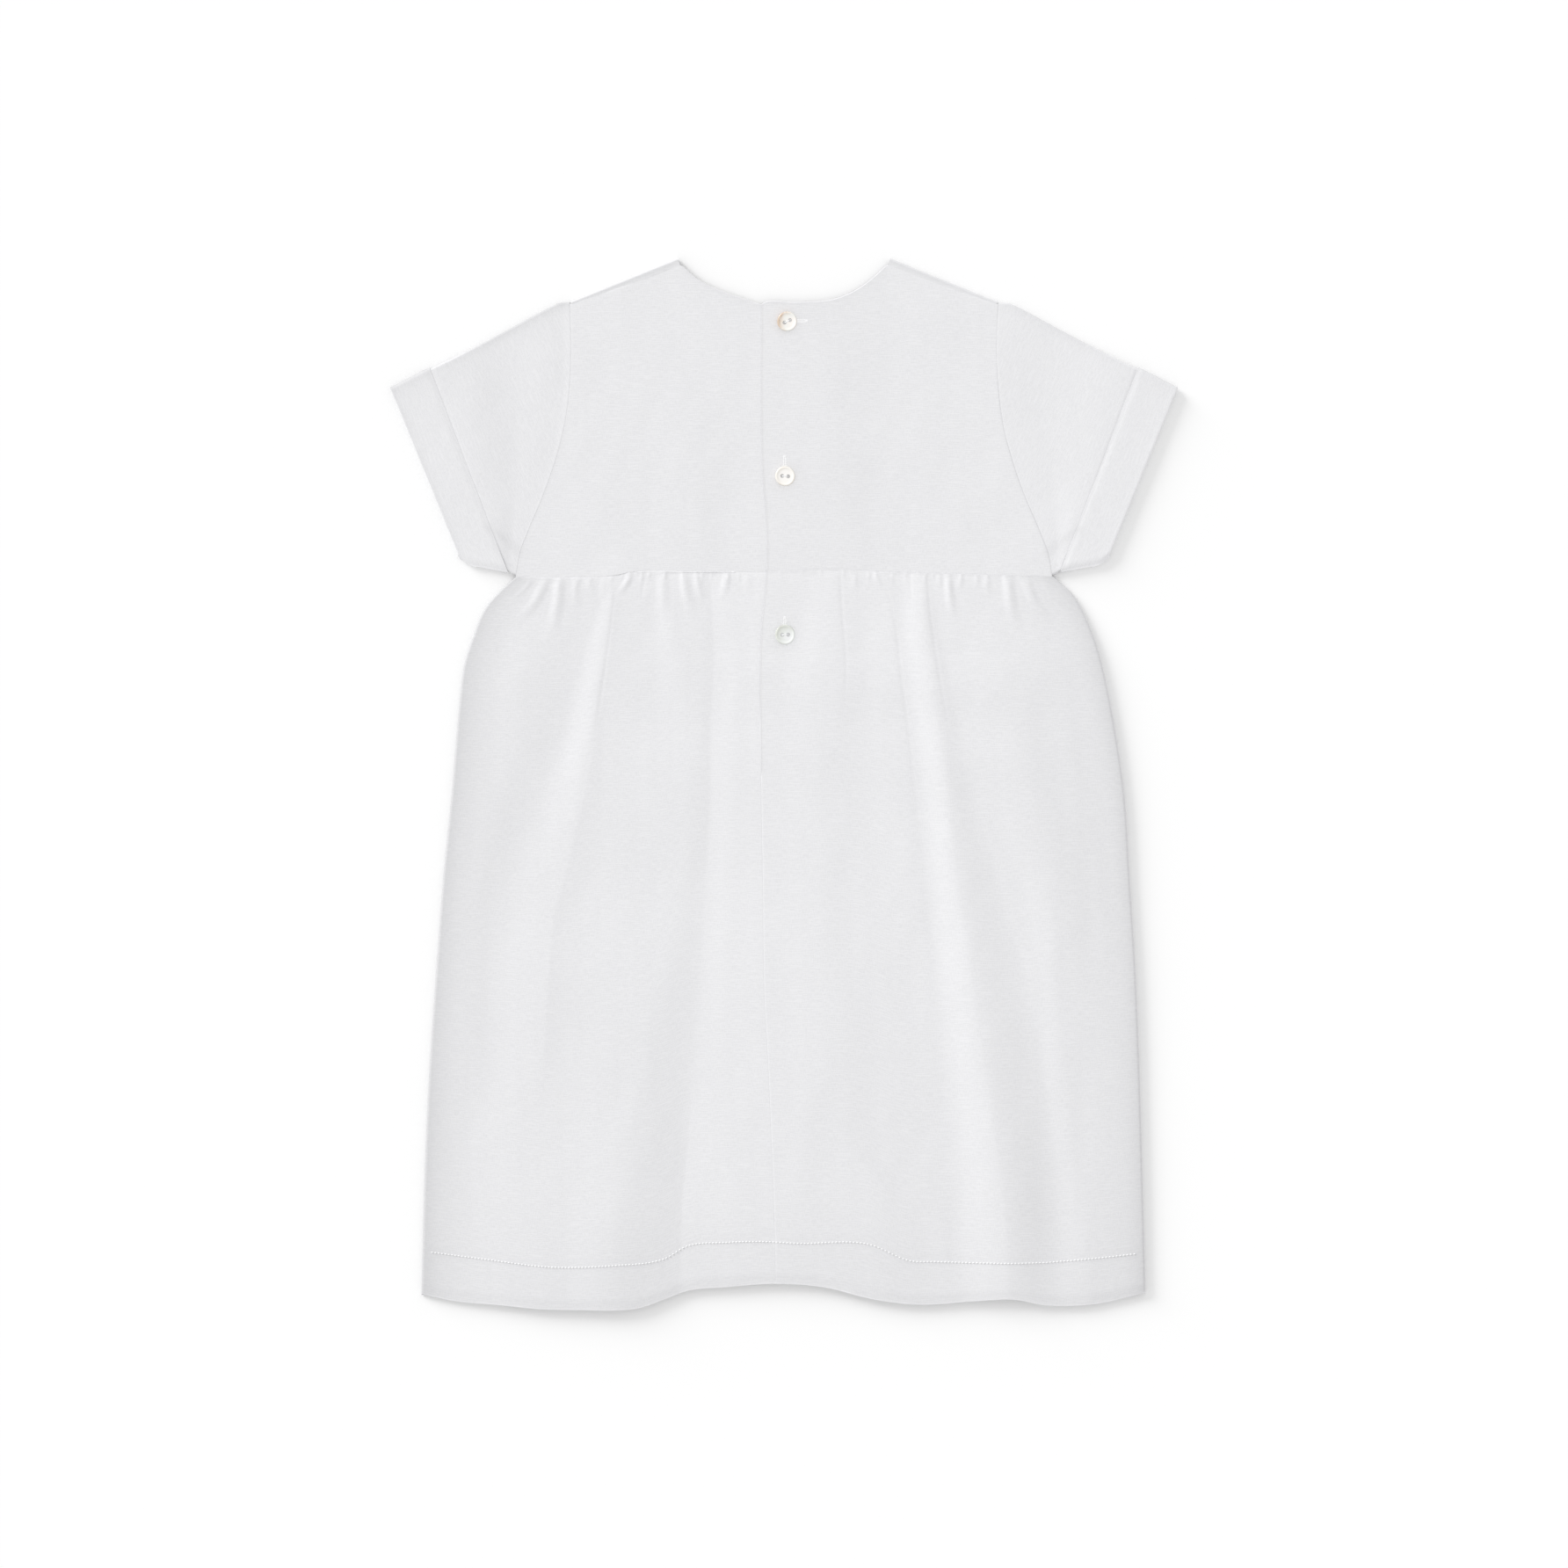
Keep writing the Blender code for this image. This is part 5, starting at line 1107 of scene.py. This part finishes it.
def tube(node, side, out, radius, centre, insets, rounds, relief, painted_shading):
    """A flattened tube round the sleeve, from rows of `out`, with relief on the side that faces up."""
    step, out = np.meshgrid(np.arange(2 * (SLEEVE_FLATS + TURN_STEPS) + 1), out)
    radius, centre, *ends = (np.broadcast_to(np.reshape(value, (-1, 1)), step.shape)
                             for value in (radius, centre, *insets, *rounds))
    lengths = np.hypot(*(sleeve_plan(np.ones_like(out), out) - sleeve_plan(np.zeros_like(out), out)))
    share, height = ring(step, lengths, ends[:2], ends[2:], radius)
    x, y = sleeve_plan(share, out)
    z = centre + height + relief(x, y, share, out) * np.clip(height / radius, 0.0, 1.0)
    grain = np.subtract(*CUFF_LINE[::-1]) / np.hypot(*np.subtract(*CUFF_LINE))
    weave = (x * grain[0] + y * grain[1], x * grain[1] - y * grain[0])
    x = -HAND[side] * x
    shade = painted_shading(share, out, lengths) * painted_soft_shade(x, y)
    other = "right" if side == "left" else "left"
    x, y, z, shade, *weave = face_up(other, x, y, z, shade, *weave)
    return cloth(node, (x, y, z), weave, shade)


def sleeve(side):
    inside = 1.0 + SLEEVE_RUNS_IN * np.array(SLEEVE_INSIDE)
    out = np.concatenate((stations(SLEEVE_SEAM, SLEEVE_STEP, last=False), inside))
    round_ends = FOLD_RADIUS - seamed(out * SLEEVE_SEAM)
    radius = round_ends - UNDER_CUFF * ease((out - 1.0) / UNDER_CUFF_RUN)

    def rising(out):
        return ease((out - RISE_STARTS) / (RISE_ENDS - RISE_STARTS))

    def relief(x, y, share, out):
        flat_end = FLAT_END_KEEPS * CUFF_LIFT * rising(out) * (1.0 - ease(share * 100.0 / FLAT_END))
        return welt(out * SLEEVE_SEAM) + ripples(x, y) - flat_end

    # painted shade at the sleeve's top edge, painted highlight on the ridge beside its seam and painted
    # shade in the seam
    def painted_shading(share, out, length):
        return painted_edge_shade((1.0 - share) * length, TOP_EDGE_SHADE[side]) * painted_welt_shading(out * SLEEVE_SEAM, side)

    inset = FOLD_RADIUS + (CUFF_LIFT + SLEEVE_CLEARS) * rising(out)
    return tube(f"sleeve_{side}", side, out, radius, FOLD_RADIUS + CUFF_LIFT * rising(out), (inset, inset),
                (round_ends, round_ends), relief, painted_shading)


def cuff(side):
    """The band: its outer layer runs from the free edge to the outer edge, where it folds back inside."""
    outer = stations(CUFF_WIDTH, SLEEVE_STEP, last=False)
    turn_at = 1.0 - CUFF_FOLD_OUT / CUFF_WIDTH
    turned = np.linspace(0.0, np.pi, TURN_STEPS + 1)[1:]
    out = np.concatenate(([0.0], outer * turn_at, turn_at + CUFF_FOLD_OUT / CUFF_WIDTH * np.sin(turned),
                          [1.0 - CUFF_TURN_IN]))
    turned = np.concatenate((np.zeros(len(outer) + 1), turned, [np.pi]))
    radius = CUFF_HALF - CUFF_FOLD + CUFF_FOLD * np.cos(turned)
    radius[1:len(outer) + 1] -= folded(outer * turn_at * CUFF_WIDTH)
    radius[0] -= CLOTH
    radius -= CUFF_PRESS * (1.0 - ease(out * CUFF_WIDTH / CUFF_PRESS_RUN))
    from_corner = np.clip(1.0 - (1.0 - out) * CUFF_WIDTH / CUFF_CORNER, 0.0, 1.0)
    low_inset = CUFF_ROUND + CUFF_CORNER * (1.0 - np.sqrt(1.0 - from_corner ** 2))

    def relief(x, y, share, out):
        closer_x, closer_y = CUFF_RIPPLES_CLOSER
        return CUFF_RIPPLES * ripples(x * closer_x, y * closer_y) * ease((out - 1.0) / CUFF_RIPPLES_START)

    # painted shade and painted light at the cuff's free, outer, top and lower edges
    def painted_shading(share, out, length):
        return (painted_lap_shade((out - 1.0) * CUFF_WIDTH, FREE_EDGE_SHADE[side])
                * painted_edge_shade((2.0 - out) * CUFF_WIDTH, OUTER_EDGE_SHADE[side])
                * painted_edge_shade((1.0 - share) * length, TOP_EDGE_SHADE[side])
                * painted_edge_shade(share * length, LOW_EDGE_SHADE))

    return tube(f"cuff_{side}", side, 1.0 + out, radius, CUFF_HALF, (low_inset, CUFF_HALF),
                (CUFF_ROUND, radius), relief, painted_shading)


# --- Thread ------------------------------------------------------------------
def sewn(name, mesh):
    """A piece of thread."""
    piece = placed(name, mesh)
    coat(piece, thread())
    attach(piece, "root")
    return piece


def stitches(name, places, kind):
    """Short threads, each lying at a place (x, y, z) along a direction (dx, dy, dz)."""
    sheet = bmesh.new()
    size = Matrix.Diagonal((kind.length / 2.0, kind.thickness / 2.0, kind.thickness / 2.0, 1.0))
    for place, direction in places:
        turn = Vector(direction).to_track_quat("X", "Z").to_matrix().to_4x4()
        where = Matrix.Translation((Vector(place) + Vector((0.0, 0.0, kind.lie))) * MM)
        bmesh.ops.create_uvsphere(sheet, u_segments=8, v_segments=6, radius=MM, matrix=where @ turn @ size)
    return sewn(name, mesh_of(sheet, name))


def hem_stitches(side):
    """The line of stitches that holds the hem up."""
    count = round(HEM_STITCHED / HEM_STITCH.pitch)
    across = (np.arange(count) + 0.5) / count
    across = across[across > HEM_STITCHES_FROM]
    down = np.full_like(across, 1.0 - HEM_DEPTH / SKIRT_LENGTH)
    at, ahead = (np.stack(skirt_back_points(across + step, down, side)[:3], axis=1)
                 for step in (0.0, SHORT_STEP))
    return stitches(f"hem_stitches_{side}", zip(at, ahead - at), HEM_STITCH)


def buttonhole(hole):
    """A slit between two close rows of stitches, with a bar across each end."""
    start, end = Vector(hole.start), Vector(hole.end)
    along = (end - start).normalized()
    across = Vector((-along.y, along.x))

    def stitch(spot):
        return (spot.x, spot.y, lap_height(spot.x, spot.y)), (across.x, across.y, 0.0)

    count = int((end - start).length / HOLE_STITCH.pitch)
    rows = [stitch(start + along * (i * HOLE_STITCH.pitch) + across * (hand * HOLE_ROWS))
            for i in range(count + 1) for hand in HAND.values()]
    bars = [stitch(at + along * ((i - BAR_STITCHES // 2) * BAR_STITCH.pitch))
            for at in (start, end) for i in range(BAR_STITCHES)]
    return stitches(hole.name, rows, HOLE_STITCH), stitches(f"{hole.name}_bars", bars, BAR_STITCH)


def lap_height(x, y):
    """Height of the right back's outer side near its lap."""
    x, y = np.array([x]), np.array([y])
    below = waist(x, "right") - y
    rise = ripples(x, y) if below[0] <= 0.0 else back_skirt_rise(x, y, below, 1.0)
    return float((BACK_TOP + rise + lap_rise(x, np.maximum(below, 0.0)))[0])


# --- Buttons -----------------------------------------------------------------
def button(row):
    """A dished two-hole button, its thread, and its place on the lap."""
    sheet = bmesh.new()
    points = [sheet.verts.new((ring.radius * MM, 0.0, ring.height * MM)) for ring in BUTTON_SECTION]
    edges = [sheet.edges.new(pair) for pair in zip(points, points[1:])]
    bmesh.ops.spin(sheet, geom=points + edges, cent=(0, 0, 0), axis=(0, 0, 1), angle=2 * math.pi,
                   steps=BUTTON_STEPS, use_merge=True)
    bmesh.ops.remove_doubles(sheet, verts=sheet.verts, dist=ONE_POINT * MM)
    bmesh.ops.recalc_face_normals(sheet, faces=sheet.faces)
    piece = placed(f"pearl_{row.name}", mesh_of(sheet, row.name))
    cutters = []
    for hand in HAND.values():
        sheet = bmesh.new()
        bmesh.ops.create_cone(sheet, cap_ends=True, segments=HOLE_STEPS, radius1=HOLE_RADIUS * MM,
                              radius2=HOLE_RADIUS * MM, depth=HOLE_CUT * MM,
                              matrix=Matrix.Translation((hand * HOLE_SPACING / 2 * MM, 0, 0)))
        cutters.append(placed("hole", mesh_of(sheet, "hole")))
        cut = piece.modifiers.new("hole", "BOOLEAN")
        cut.object = cutters[-1]
        cut.operation = "DIFFERENCE"
    whole = modified(piece)
    piece.modifiers.clear()
    piece.data = whole
    for cutter in cutters:
        bpy.data.objects.remove(cutter)
    low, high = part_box(row.name)
    middle = (low + high) / 2
    base = Matrix.Translation(middle) @ Matrix.Rotation(math.radians(row.turn), 4, "Z")
    base = base @ Matrix.Rotation(math.radians(row.tilt), 4, "Y")
    base = base @ Matrix.Translation((0, 0, -(BUTTON_MIDDLE + BUTTON_LOWER) * MM))
    whole.transform(base)
    coat(piece, pearl(row, middle), SHARP_SHELL)
    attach(piece, "root")
    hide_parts(row.name)
    return piece, button_thread(row, base)


def button_thread(row, base):
    """Thread from one hole to the other, and down through both to the underlap."""
    curve = bpy.data.curves.new(f"{row.name}_thread", "CURVE")
    curve.dimensions = "3D"
    curve.bevel_depth = STRAND_RADIUS * MM
    curve.bevel_resolution = 2
    left = [(-x, apart, height) for x, apart, height in STRAND_HALF]
    for strand in range(STRANDS):
        side = (strand - (STRANDS - 1) / 2) * STRAND_SPACING
        path = [*left, STRAND_TOP, *reversed(STRAND_HALF)]
        line = curve.splines.new("NURBS")
        line.points.add(len(path) - 1)
        for point, (x, apart, height) in zip(line.points, path):
            point.co = (x * MM, side * apart * MM, height * MM, 1.0)
        line.use_endpoint_u = True
        line.order_u = 4
        line.resolution_u = 6
    loose = placed("loose", curve)
    mesh = modified(loose)
    bpy.data.objects.remove(loose)
    mesh.transform(base)
    return sewn(f"thread_{row.name}", mesh)


# --- Materials ---------------------------------------------------------------
def new_material(name):
    made = bpy.data.materials.new(name)
    made.use_nodes = True
    return made, made.node_tree, made.node_tree.nodes["Principled BSDF"]


def fill(tree, node, inputs):
    """Gives a node's inputs their values or links."""
    for name, value in inputs.items():
        if isinstance(value, bpy.types.NodeSocket):
            tree.links.new(value, node.inputs[name])
        else:
            node.inputs[name].default_value = value


def add(tree, kind, inputs=(), **settings):
    """A node with its settings, and values or links for its inputs."""
    node = tree.nodes.new(kind)
    for name, value in settings.items():
        setattr(node, name, value)
    fill(tree, node, dict(inputs))
    return node


def calc(tree, operation, *values):
    return add(tree, "ShaderNodeMath", dict(enumerate(values)), operation=operation).outputs[0]


def vector_calc(tree, operation, *values, output=0):
    return add(tree, "ShaderNodeVectorMath", dict(enumerate(values)), operation=operation).outputs[output]


def scaled(tree, colour, share):
    return add(tree, "ShaderNodeVectorMath", {0: colour, "Scale": share}, operation="SCALE").outputs[0]


def noise(tree, place, scale, detail, more=(), **settings):
    inputs = {"Vector": place, "Scale": scale, "Detail": detail, **dict(more)}
    return add(tree, "ShaderNodeTexNoise", inputs, **settings)


def blend(tree, share, first, second, **settings):
    return add(tree, "ShaderNodeMix", {"Factor": share, "A": first, "B": second}, data_type="RGBA",
               **settings).outputs["Result"]


def opaque(colour):
    return (*colour, 1.0)


def bump(tree, height, strength, depth):
    return add(tree, "ShaderNodeBump", {"Strength": strength, "Distance": depth * MM,
                                        "Height": height}).outputs["Normal"]


def streaks(tree, vector, scale, detail):
    """Noise drawn out along one thread direction."""
    stretched = vector_calc(tree, "MULTIPLY", vector, (*scale, 1.0))
    return noise(tree, stretched, 1.0, detail, noise_dimensions="2D").outputs["Fac"]


def weave_group():
    """Plain-weave linen: uneven threads both ways, thick and thin, with a slub here and there."""
    tree = bpy.data.node_groups.new("linen_weave", "ShaderNodeTree")
    tree.interface.new_socket("Vector", in_out="INPUT", socket_type="NodeSocketVector")
    tree.interface.new_socket("Shade", in_out="OUTPUT", socket_type="NodeSocketFloat")
    tree.interface.new_socket("Height", in_out="OUTPUT", socket_type="NodeSocketFloat")
    flat = add(tree, "NodeGroupInput").outputs["Vector"]
    weft = streaks(tree, flat, (330.0, 2900.0), 1.0)
    warp = streaks(tree, flat, (2900.0, 400.0), 1.0)
    slub = streaks(tree, flat, (100.0, 2400.0), 0.0)
    slub = add(tree, "ShaderNodeMapRange", {"Value": slub, "From Min": 0.60, "From Max": 0.74}).outputs[0]
    cloud = noise(tree, flat, 42.0, 3.0, noise_dimensions="2D").outputs["Fac"]
    threads = calc(tree, "MULTIPLY_ADD", warp, 0.45, calc(tree, "MULTIPLY", weft, 0.55))
    with_slubs = calc(tree, "MULTIPLY_ADD", slub, 0.22, threads)
    clouded = calc(tree, "MULTIPLY_ADD", cloud, 0.08, with_slubs)
    turned = vector_calc(tree, "MULTIPLY", flat, (2.0 * math.pi / THREAD_PITCH / MM,) * 3)
    parts = add(tree, "ShaderNodeSeparateXYZ", {0: turned})
    over, under = (calc(tree, "SINE", parts.outputs[axis]) for axis in "XY")
    crossing = calc(tree, "MULTIPLY", over, under)
    add(tree, "NodeGroupOutput", {"Shade": calc(tree, "MULTIPLY_ADD", crossing, 0.06, clouded),
                                  "Height": calc(tree, "MULTIPLY_ADD", crossing, 0.12, with_slubs)})
    return tree


@cache
def linen():
    """White linen, matt, with the weave following each piece's own cut."""
    made, tree, surface = new_material("white_linen")
    flat = add(tree, "ShaderNodeUVMap", uv_map="weave").outputs["UV"]
    weave = add(tree, "ShaderNodeGroup", node_tree=weave_group())
    tree.links.new(flat, weave.inputs["Vector"])
    shade = add(tree, "ShaderNodeMapRange", {"Value": weave.outputs["Shade"], "From Min": 0.42,
                                             "From Max": 0.68}).outputs[0]
    colour = blend(tree, shade, opaque(LINEN_DARK), opaque(LINEN_LIGHT))
    # the painted shade and painted light of each point, from the piece's attribute, scale the linen's
    # colour
    painted_shading = add(tree, "ShaderNodeAttribute", attribute_name="painted_shading").outputs["Fac"]
    fill(tree, surface, {"Base Color": scaled(tree, colour, painted_shading),
                         "Normal": bump(tree, weave.outputs["Height"], 0.35, 0.12), "Roughness": 0.92,
                         "Specular IOR Level": 0.25, "Sheen Weight": 0.06, "Sheen Roughness": 0.45})
    return made


@cache
def thread():
    """Cotton sewing thread, a little brighter than the cloth, twisted."""
    made, tree, surface = new_material("sewing_thread")
    place = add(tree, "ShaderNodeTexCoord").outputs["Object"]
    twist = noise(tree, place, 4200.0, 1.0).outputs["Fac"]
    fill(tree, surface, {"Base Color": blend(tree, twist, opaque(THREAD_DARK), opaque(THREAD_LIGHT)),
                         "Normal": bump(tree, twist, 0.5, 0.05), "Roughness": 0.7})
    return made


def pearl(row, middle):
    """Mother-of-pearl: its own clouded colours, with a painted highlight round a bright spot and painted
    shade towards the rim and in the holes.
    """
    made, tree, surface = new_material(f"pearl_{row.name}")
    place = add(tree, "ShaderNodeTexCoord").outputs["Object"]

    def away_from(x, y, height_counts):
        centre = (middle.x + x * MM, middle.y + y * MM, middle.z)
        flat = vector_calc(tree, "MULTIPLY", vector_calc(tree, "SUBTRACT", place, centre),
                           (1.0, 1.0, height_counts))
        return vector_calc(tree, "LENGTH", flat, output="Value")

    # painted highlight: the colours run outwards from the bright spot
    share = calc(tree, "MULTIPLY", away_from(*row.bright, 0.2), 1.0 / (COLOUR_REACH * MM))
    cloud = noise(tree, place, 300.0, 2.0, {"Distortion": 0.8}).outputs["Fac"]
    clouded = calc(tree, "SUBTRACT", calc(tree, "MULTIPLY_ADD", cloud, 0.5, share), 0.25)
    hue = add(tree, "ShaderNodeValToRGB", {"Fac": clouded})
    first, *between, last = zip(COLOUR_PLACES, row.colours)
    for element, (position, colour) in zip(hue.color_ramp.elements, (first, last)):
        element.position, element.color = position, opaque(colour)
    for position, colour in between:
        hue.color_ramp.elements.new(position).color = opaque(colour)
    stretched = vector_calc(tree, "MULTIPLY", place, (900.0, 2600.0, 900.0))
    lines = noise(tree, stretched, 1.0, 2.0, {"Distortion": 1.5})
    shade = blend(tree, 0.12, hue.outputs["Color"], lines.outputs["Color"], blend_type="OVERLAY")
    turn = math.radians(row.turn)
    hole_x, hole_y = HOLE_SPACING / 2 * math.cos(turn), HOLE_SPACING / 2 * math.sin(turn)
    # painted shade on the rim and inside the holes
    darker = [(0.0, 0.0, RIM_FROM, RIM_TO, 1.0, RIM_SHADE)]
    darker += [(hand * hole_x, hand * hole_y, HOLE_RADIUS, HOLE_RADIUS + HOLE_SHADE_RUN, HOLE_SHADE, 1.0)
               for hand in HAND.values()]
    for x, y, start, end, at_start, at_end in darker:
        share = add(tree, "ShaderNodeMapRange", {"Value": away_from(x, y, 0.0), "From Min": start * MM,
                                                 "From Max": end * MM, "To Min": at_start,
                                                 "To Max": at_end}).outputs[0]
        shade = scaled(tree, shade, share)
    fill(tree, surface, {"Base Color": shade, "Normal": bump(tree, lines.outputs["Fac"], 0.15, 0.05),
                         "Roughness": 0.22, "Coat Weight": 0.35, "Coat Roughness": 0.12})
    return made


# --- Studio ------------------------------------------------------------------
def studio(small):
    """A white floor with a painted shadow beside the dress, light from all round, a soft key from the upper
    left, and the camera straight above.

    The key passes the small pieces by, so that they throw no hard shadow.
    """
    sheet = bmesh.new()
    bmesh.ops.create_grid(sheet, x_segments=1, y_segments=1, size=FLOOR_HALF)
    bmesh.ops.translate(sheet, verts=sheet.verts, vec=(0.0, 0.0, -FLOOR_BELOW * MM))
    floor = placed("floor", mesh_of(sheet, "floor"))
    made, tree, surface = new_material("floor")
    # painted shadow: the floor's colour is darker where the dress occludes it
    near = add(tree, "ShaderNodeAmbientOcclusion", {"Distance": FLOOR_REACH * MM}, samples=8)
    shade = blend(tree, near.outputs["AO"], opaque((FLOOR_PAINTED_SHADOW,) * 3), opaque(WHITE))
    fill(tree, surface, {"Base Color": shade, "Roughness": 1.0, "Specular IOR Level": 0.0})
    floor.data.materials.append(made)

    world = bpy.data.worlds.new("studio")
    world.use_nodes = True
    bpy.context.scene.world = world
    tree = world.node_tree
    seen = add(tree, "ShaderNodeLightPath").outputs["Is Camera Ray"]
    strength = add(tree, "ShaderNodeMix", {"Factor": seen, "A": AMBIENT, "B": 1.0}, data_type="FLOAT")
    fill(tree, tree.nodes["Background"], {"Color": opaque(WHITE), "Strength": strength.outputs["Result"]})

    azimuth, elevation = math.radians(KEY_AZIMUTH), math.radians(KEY_ELEVATION)
    light = bpy.data.lights.new("key", "SUN")
    light.energy = KEY_SHARE * math.pi / math.sin(elevation)
    light.angle = math.radians(KEY_SOFTNESS)
    key = placed("key", light)
    towards = Vector((math.cos(azimuth) * math.cos(elevation), math.sin(azimuth) * math.cos(elevation),
                      math.sin(elevation)))
    key.rotation_mode = "QUATERNION"
    key.rotation_quaternion = towards.to_track_quat("Z", "Y")
    unshadowed = bpy.data.collections.new("unshadowed")
    key.light_linking.blocker_collection = unshadowed
    for piece in small:
        unshadowed.objects.link(piece)
    for item in unshadowed.collection_objects:
        item.light_linking.link_state = "EXCLUDE"

    view = bpy.data.cameras.new("camera")
    view.lens, view.sensor_width = CAMERA_LENS, CAMERA_SENSOR
    view.clip_end = 50.0
    camera = placed("camera", view)
    camera.location = (0.0, 0.0, CAMERA_WIDTH * MM * CAMERA_LENS / CAMERA_SENSOR + CAMERA_AIMS * MM)
    bpy.context.scene.camera = camera
    bpy.context.scene.view_settings.view_transform = "Standard"


# --- The dress ---------------------------------------------------------------
# What each piece was cut to, in millimetres and square millimetres, how it is held and what it lies on
Cut = namedtuple("Cut", "width length area held rests_on")
CUTS = {
    "bodice_front": Cut(270.0, 166.0, 34600.0, "laid", ()),
    "bodice_back_left": Cut(147.0, 160.0, 19400.0, "laid", ("bodice_front",)),
    "bodice_back_right": Cut(147.0, 160.0, 19400.0, "laid", ("bodice_front", "bodice_back_left")),
    "skirt_front": Cut(364.0, 360.0, 124600.0, "gathered", ("bodice_front",)),
    "skirt_back_left": Cut(185.0, 360.0, 63200.0, "gathered", ("skirt_front", "bodice_back_left")),
    "skirt_back_right": Cut(187.0, 360.0, 62500.0, "gathered", ("skirt_front", "skirt_back_left")),
    "sleeve_left": Cut(280.0, 88.0, 12400.0, "laid", ("bodice_front", "bodice_back_left")),
    "sleeve_right": Cut(280.0, 88.0, 12400.0, "laid", ("bodice_front", "bodice_back_right")),
    "cuff_left": Cut(219.0, 30.0, 5900.0, "folded", ("sleeve_left",)),
    "cuff_right": Cut(219.0, 30.0, 5900.0, "folded", ("sleeve_right",))}

made = {"bodice_front": bodice_front(), "skirt_front": skirt_front()}
sewn_on = {node: [] for node in CUTS}
for side in HAND:
    made[f"bodice_back_{side}"] = bodice_back(side)
    made[f"skirt_back_{side}"] = skirt_back(side)
    made[f"sleeve_{side}"] = sleeve(side)
    made[f"cuff_{side}"] = cuff(side)
    sewn_on[f"skirt_back_{side}"].append(hem_stitches(side))
small = [piece for row in BUTTONS for piece in button(row)]
for hole in BUTTONHOLES:
    stitched = buttonhole(hole)
    sewn_on[f"{hole.on}_back_right"] += stitched
    small += stitched
studio(small)
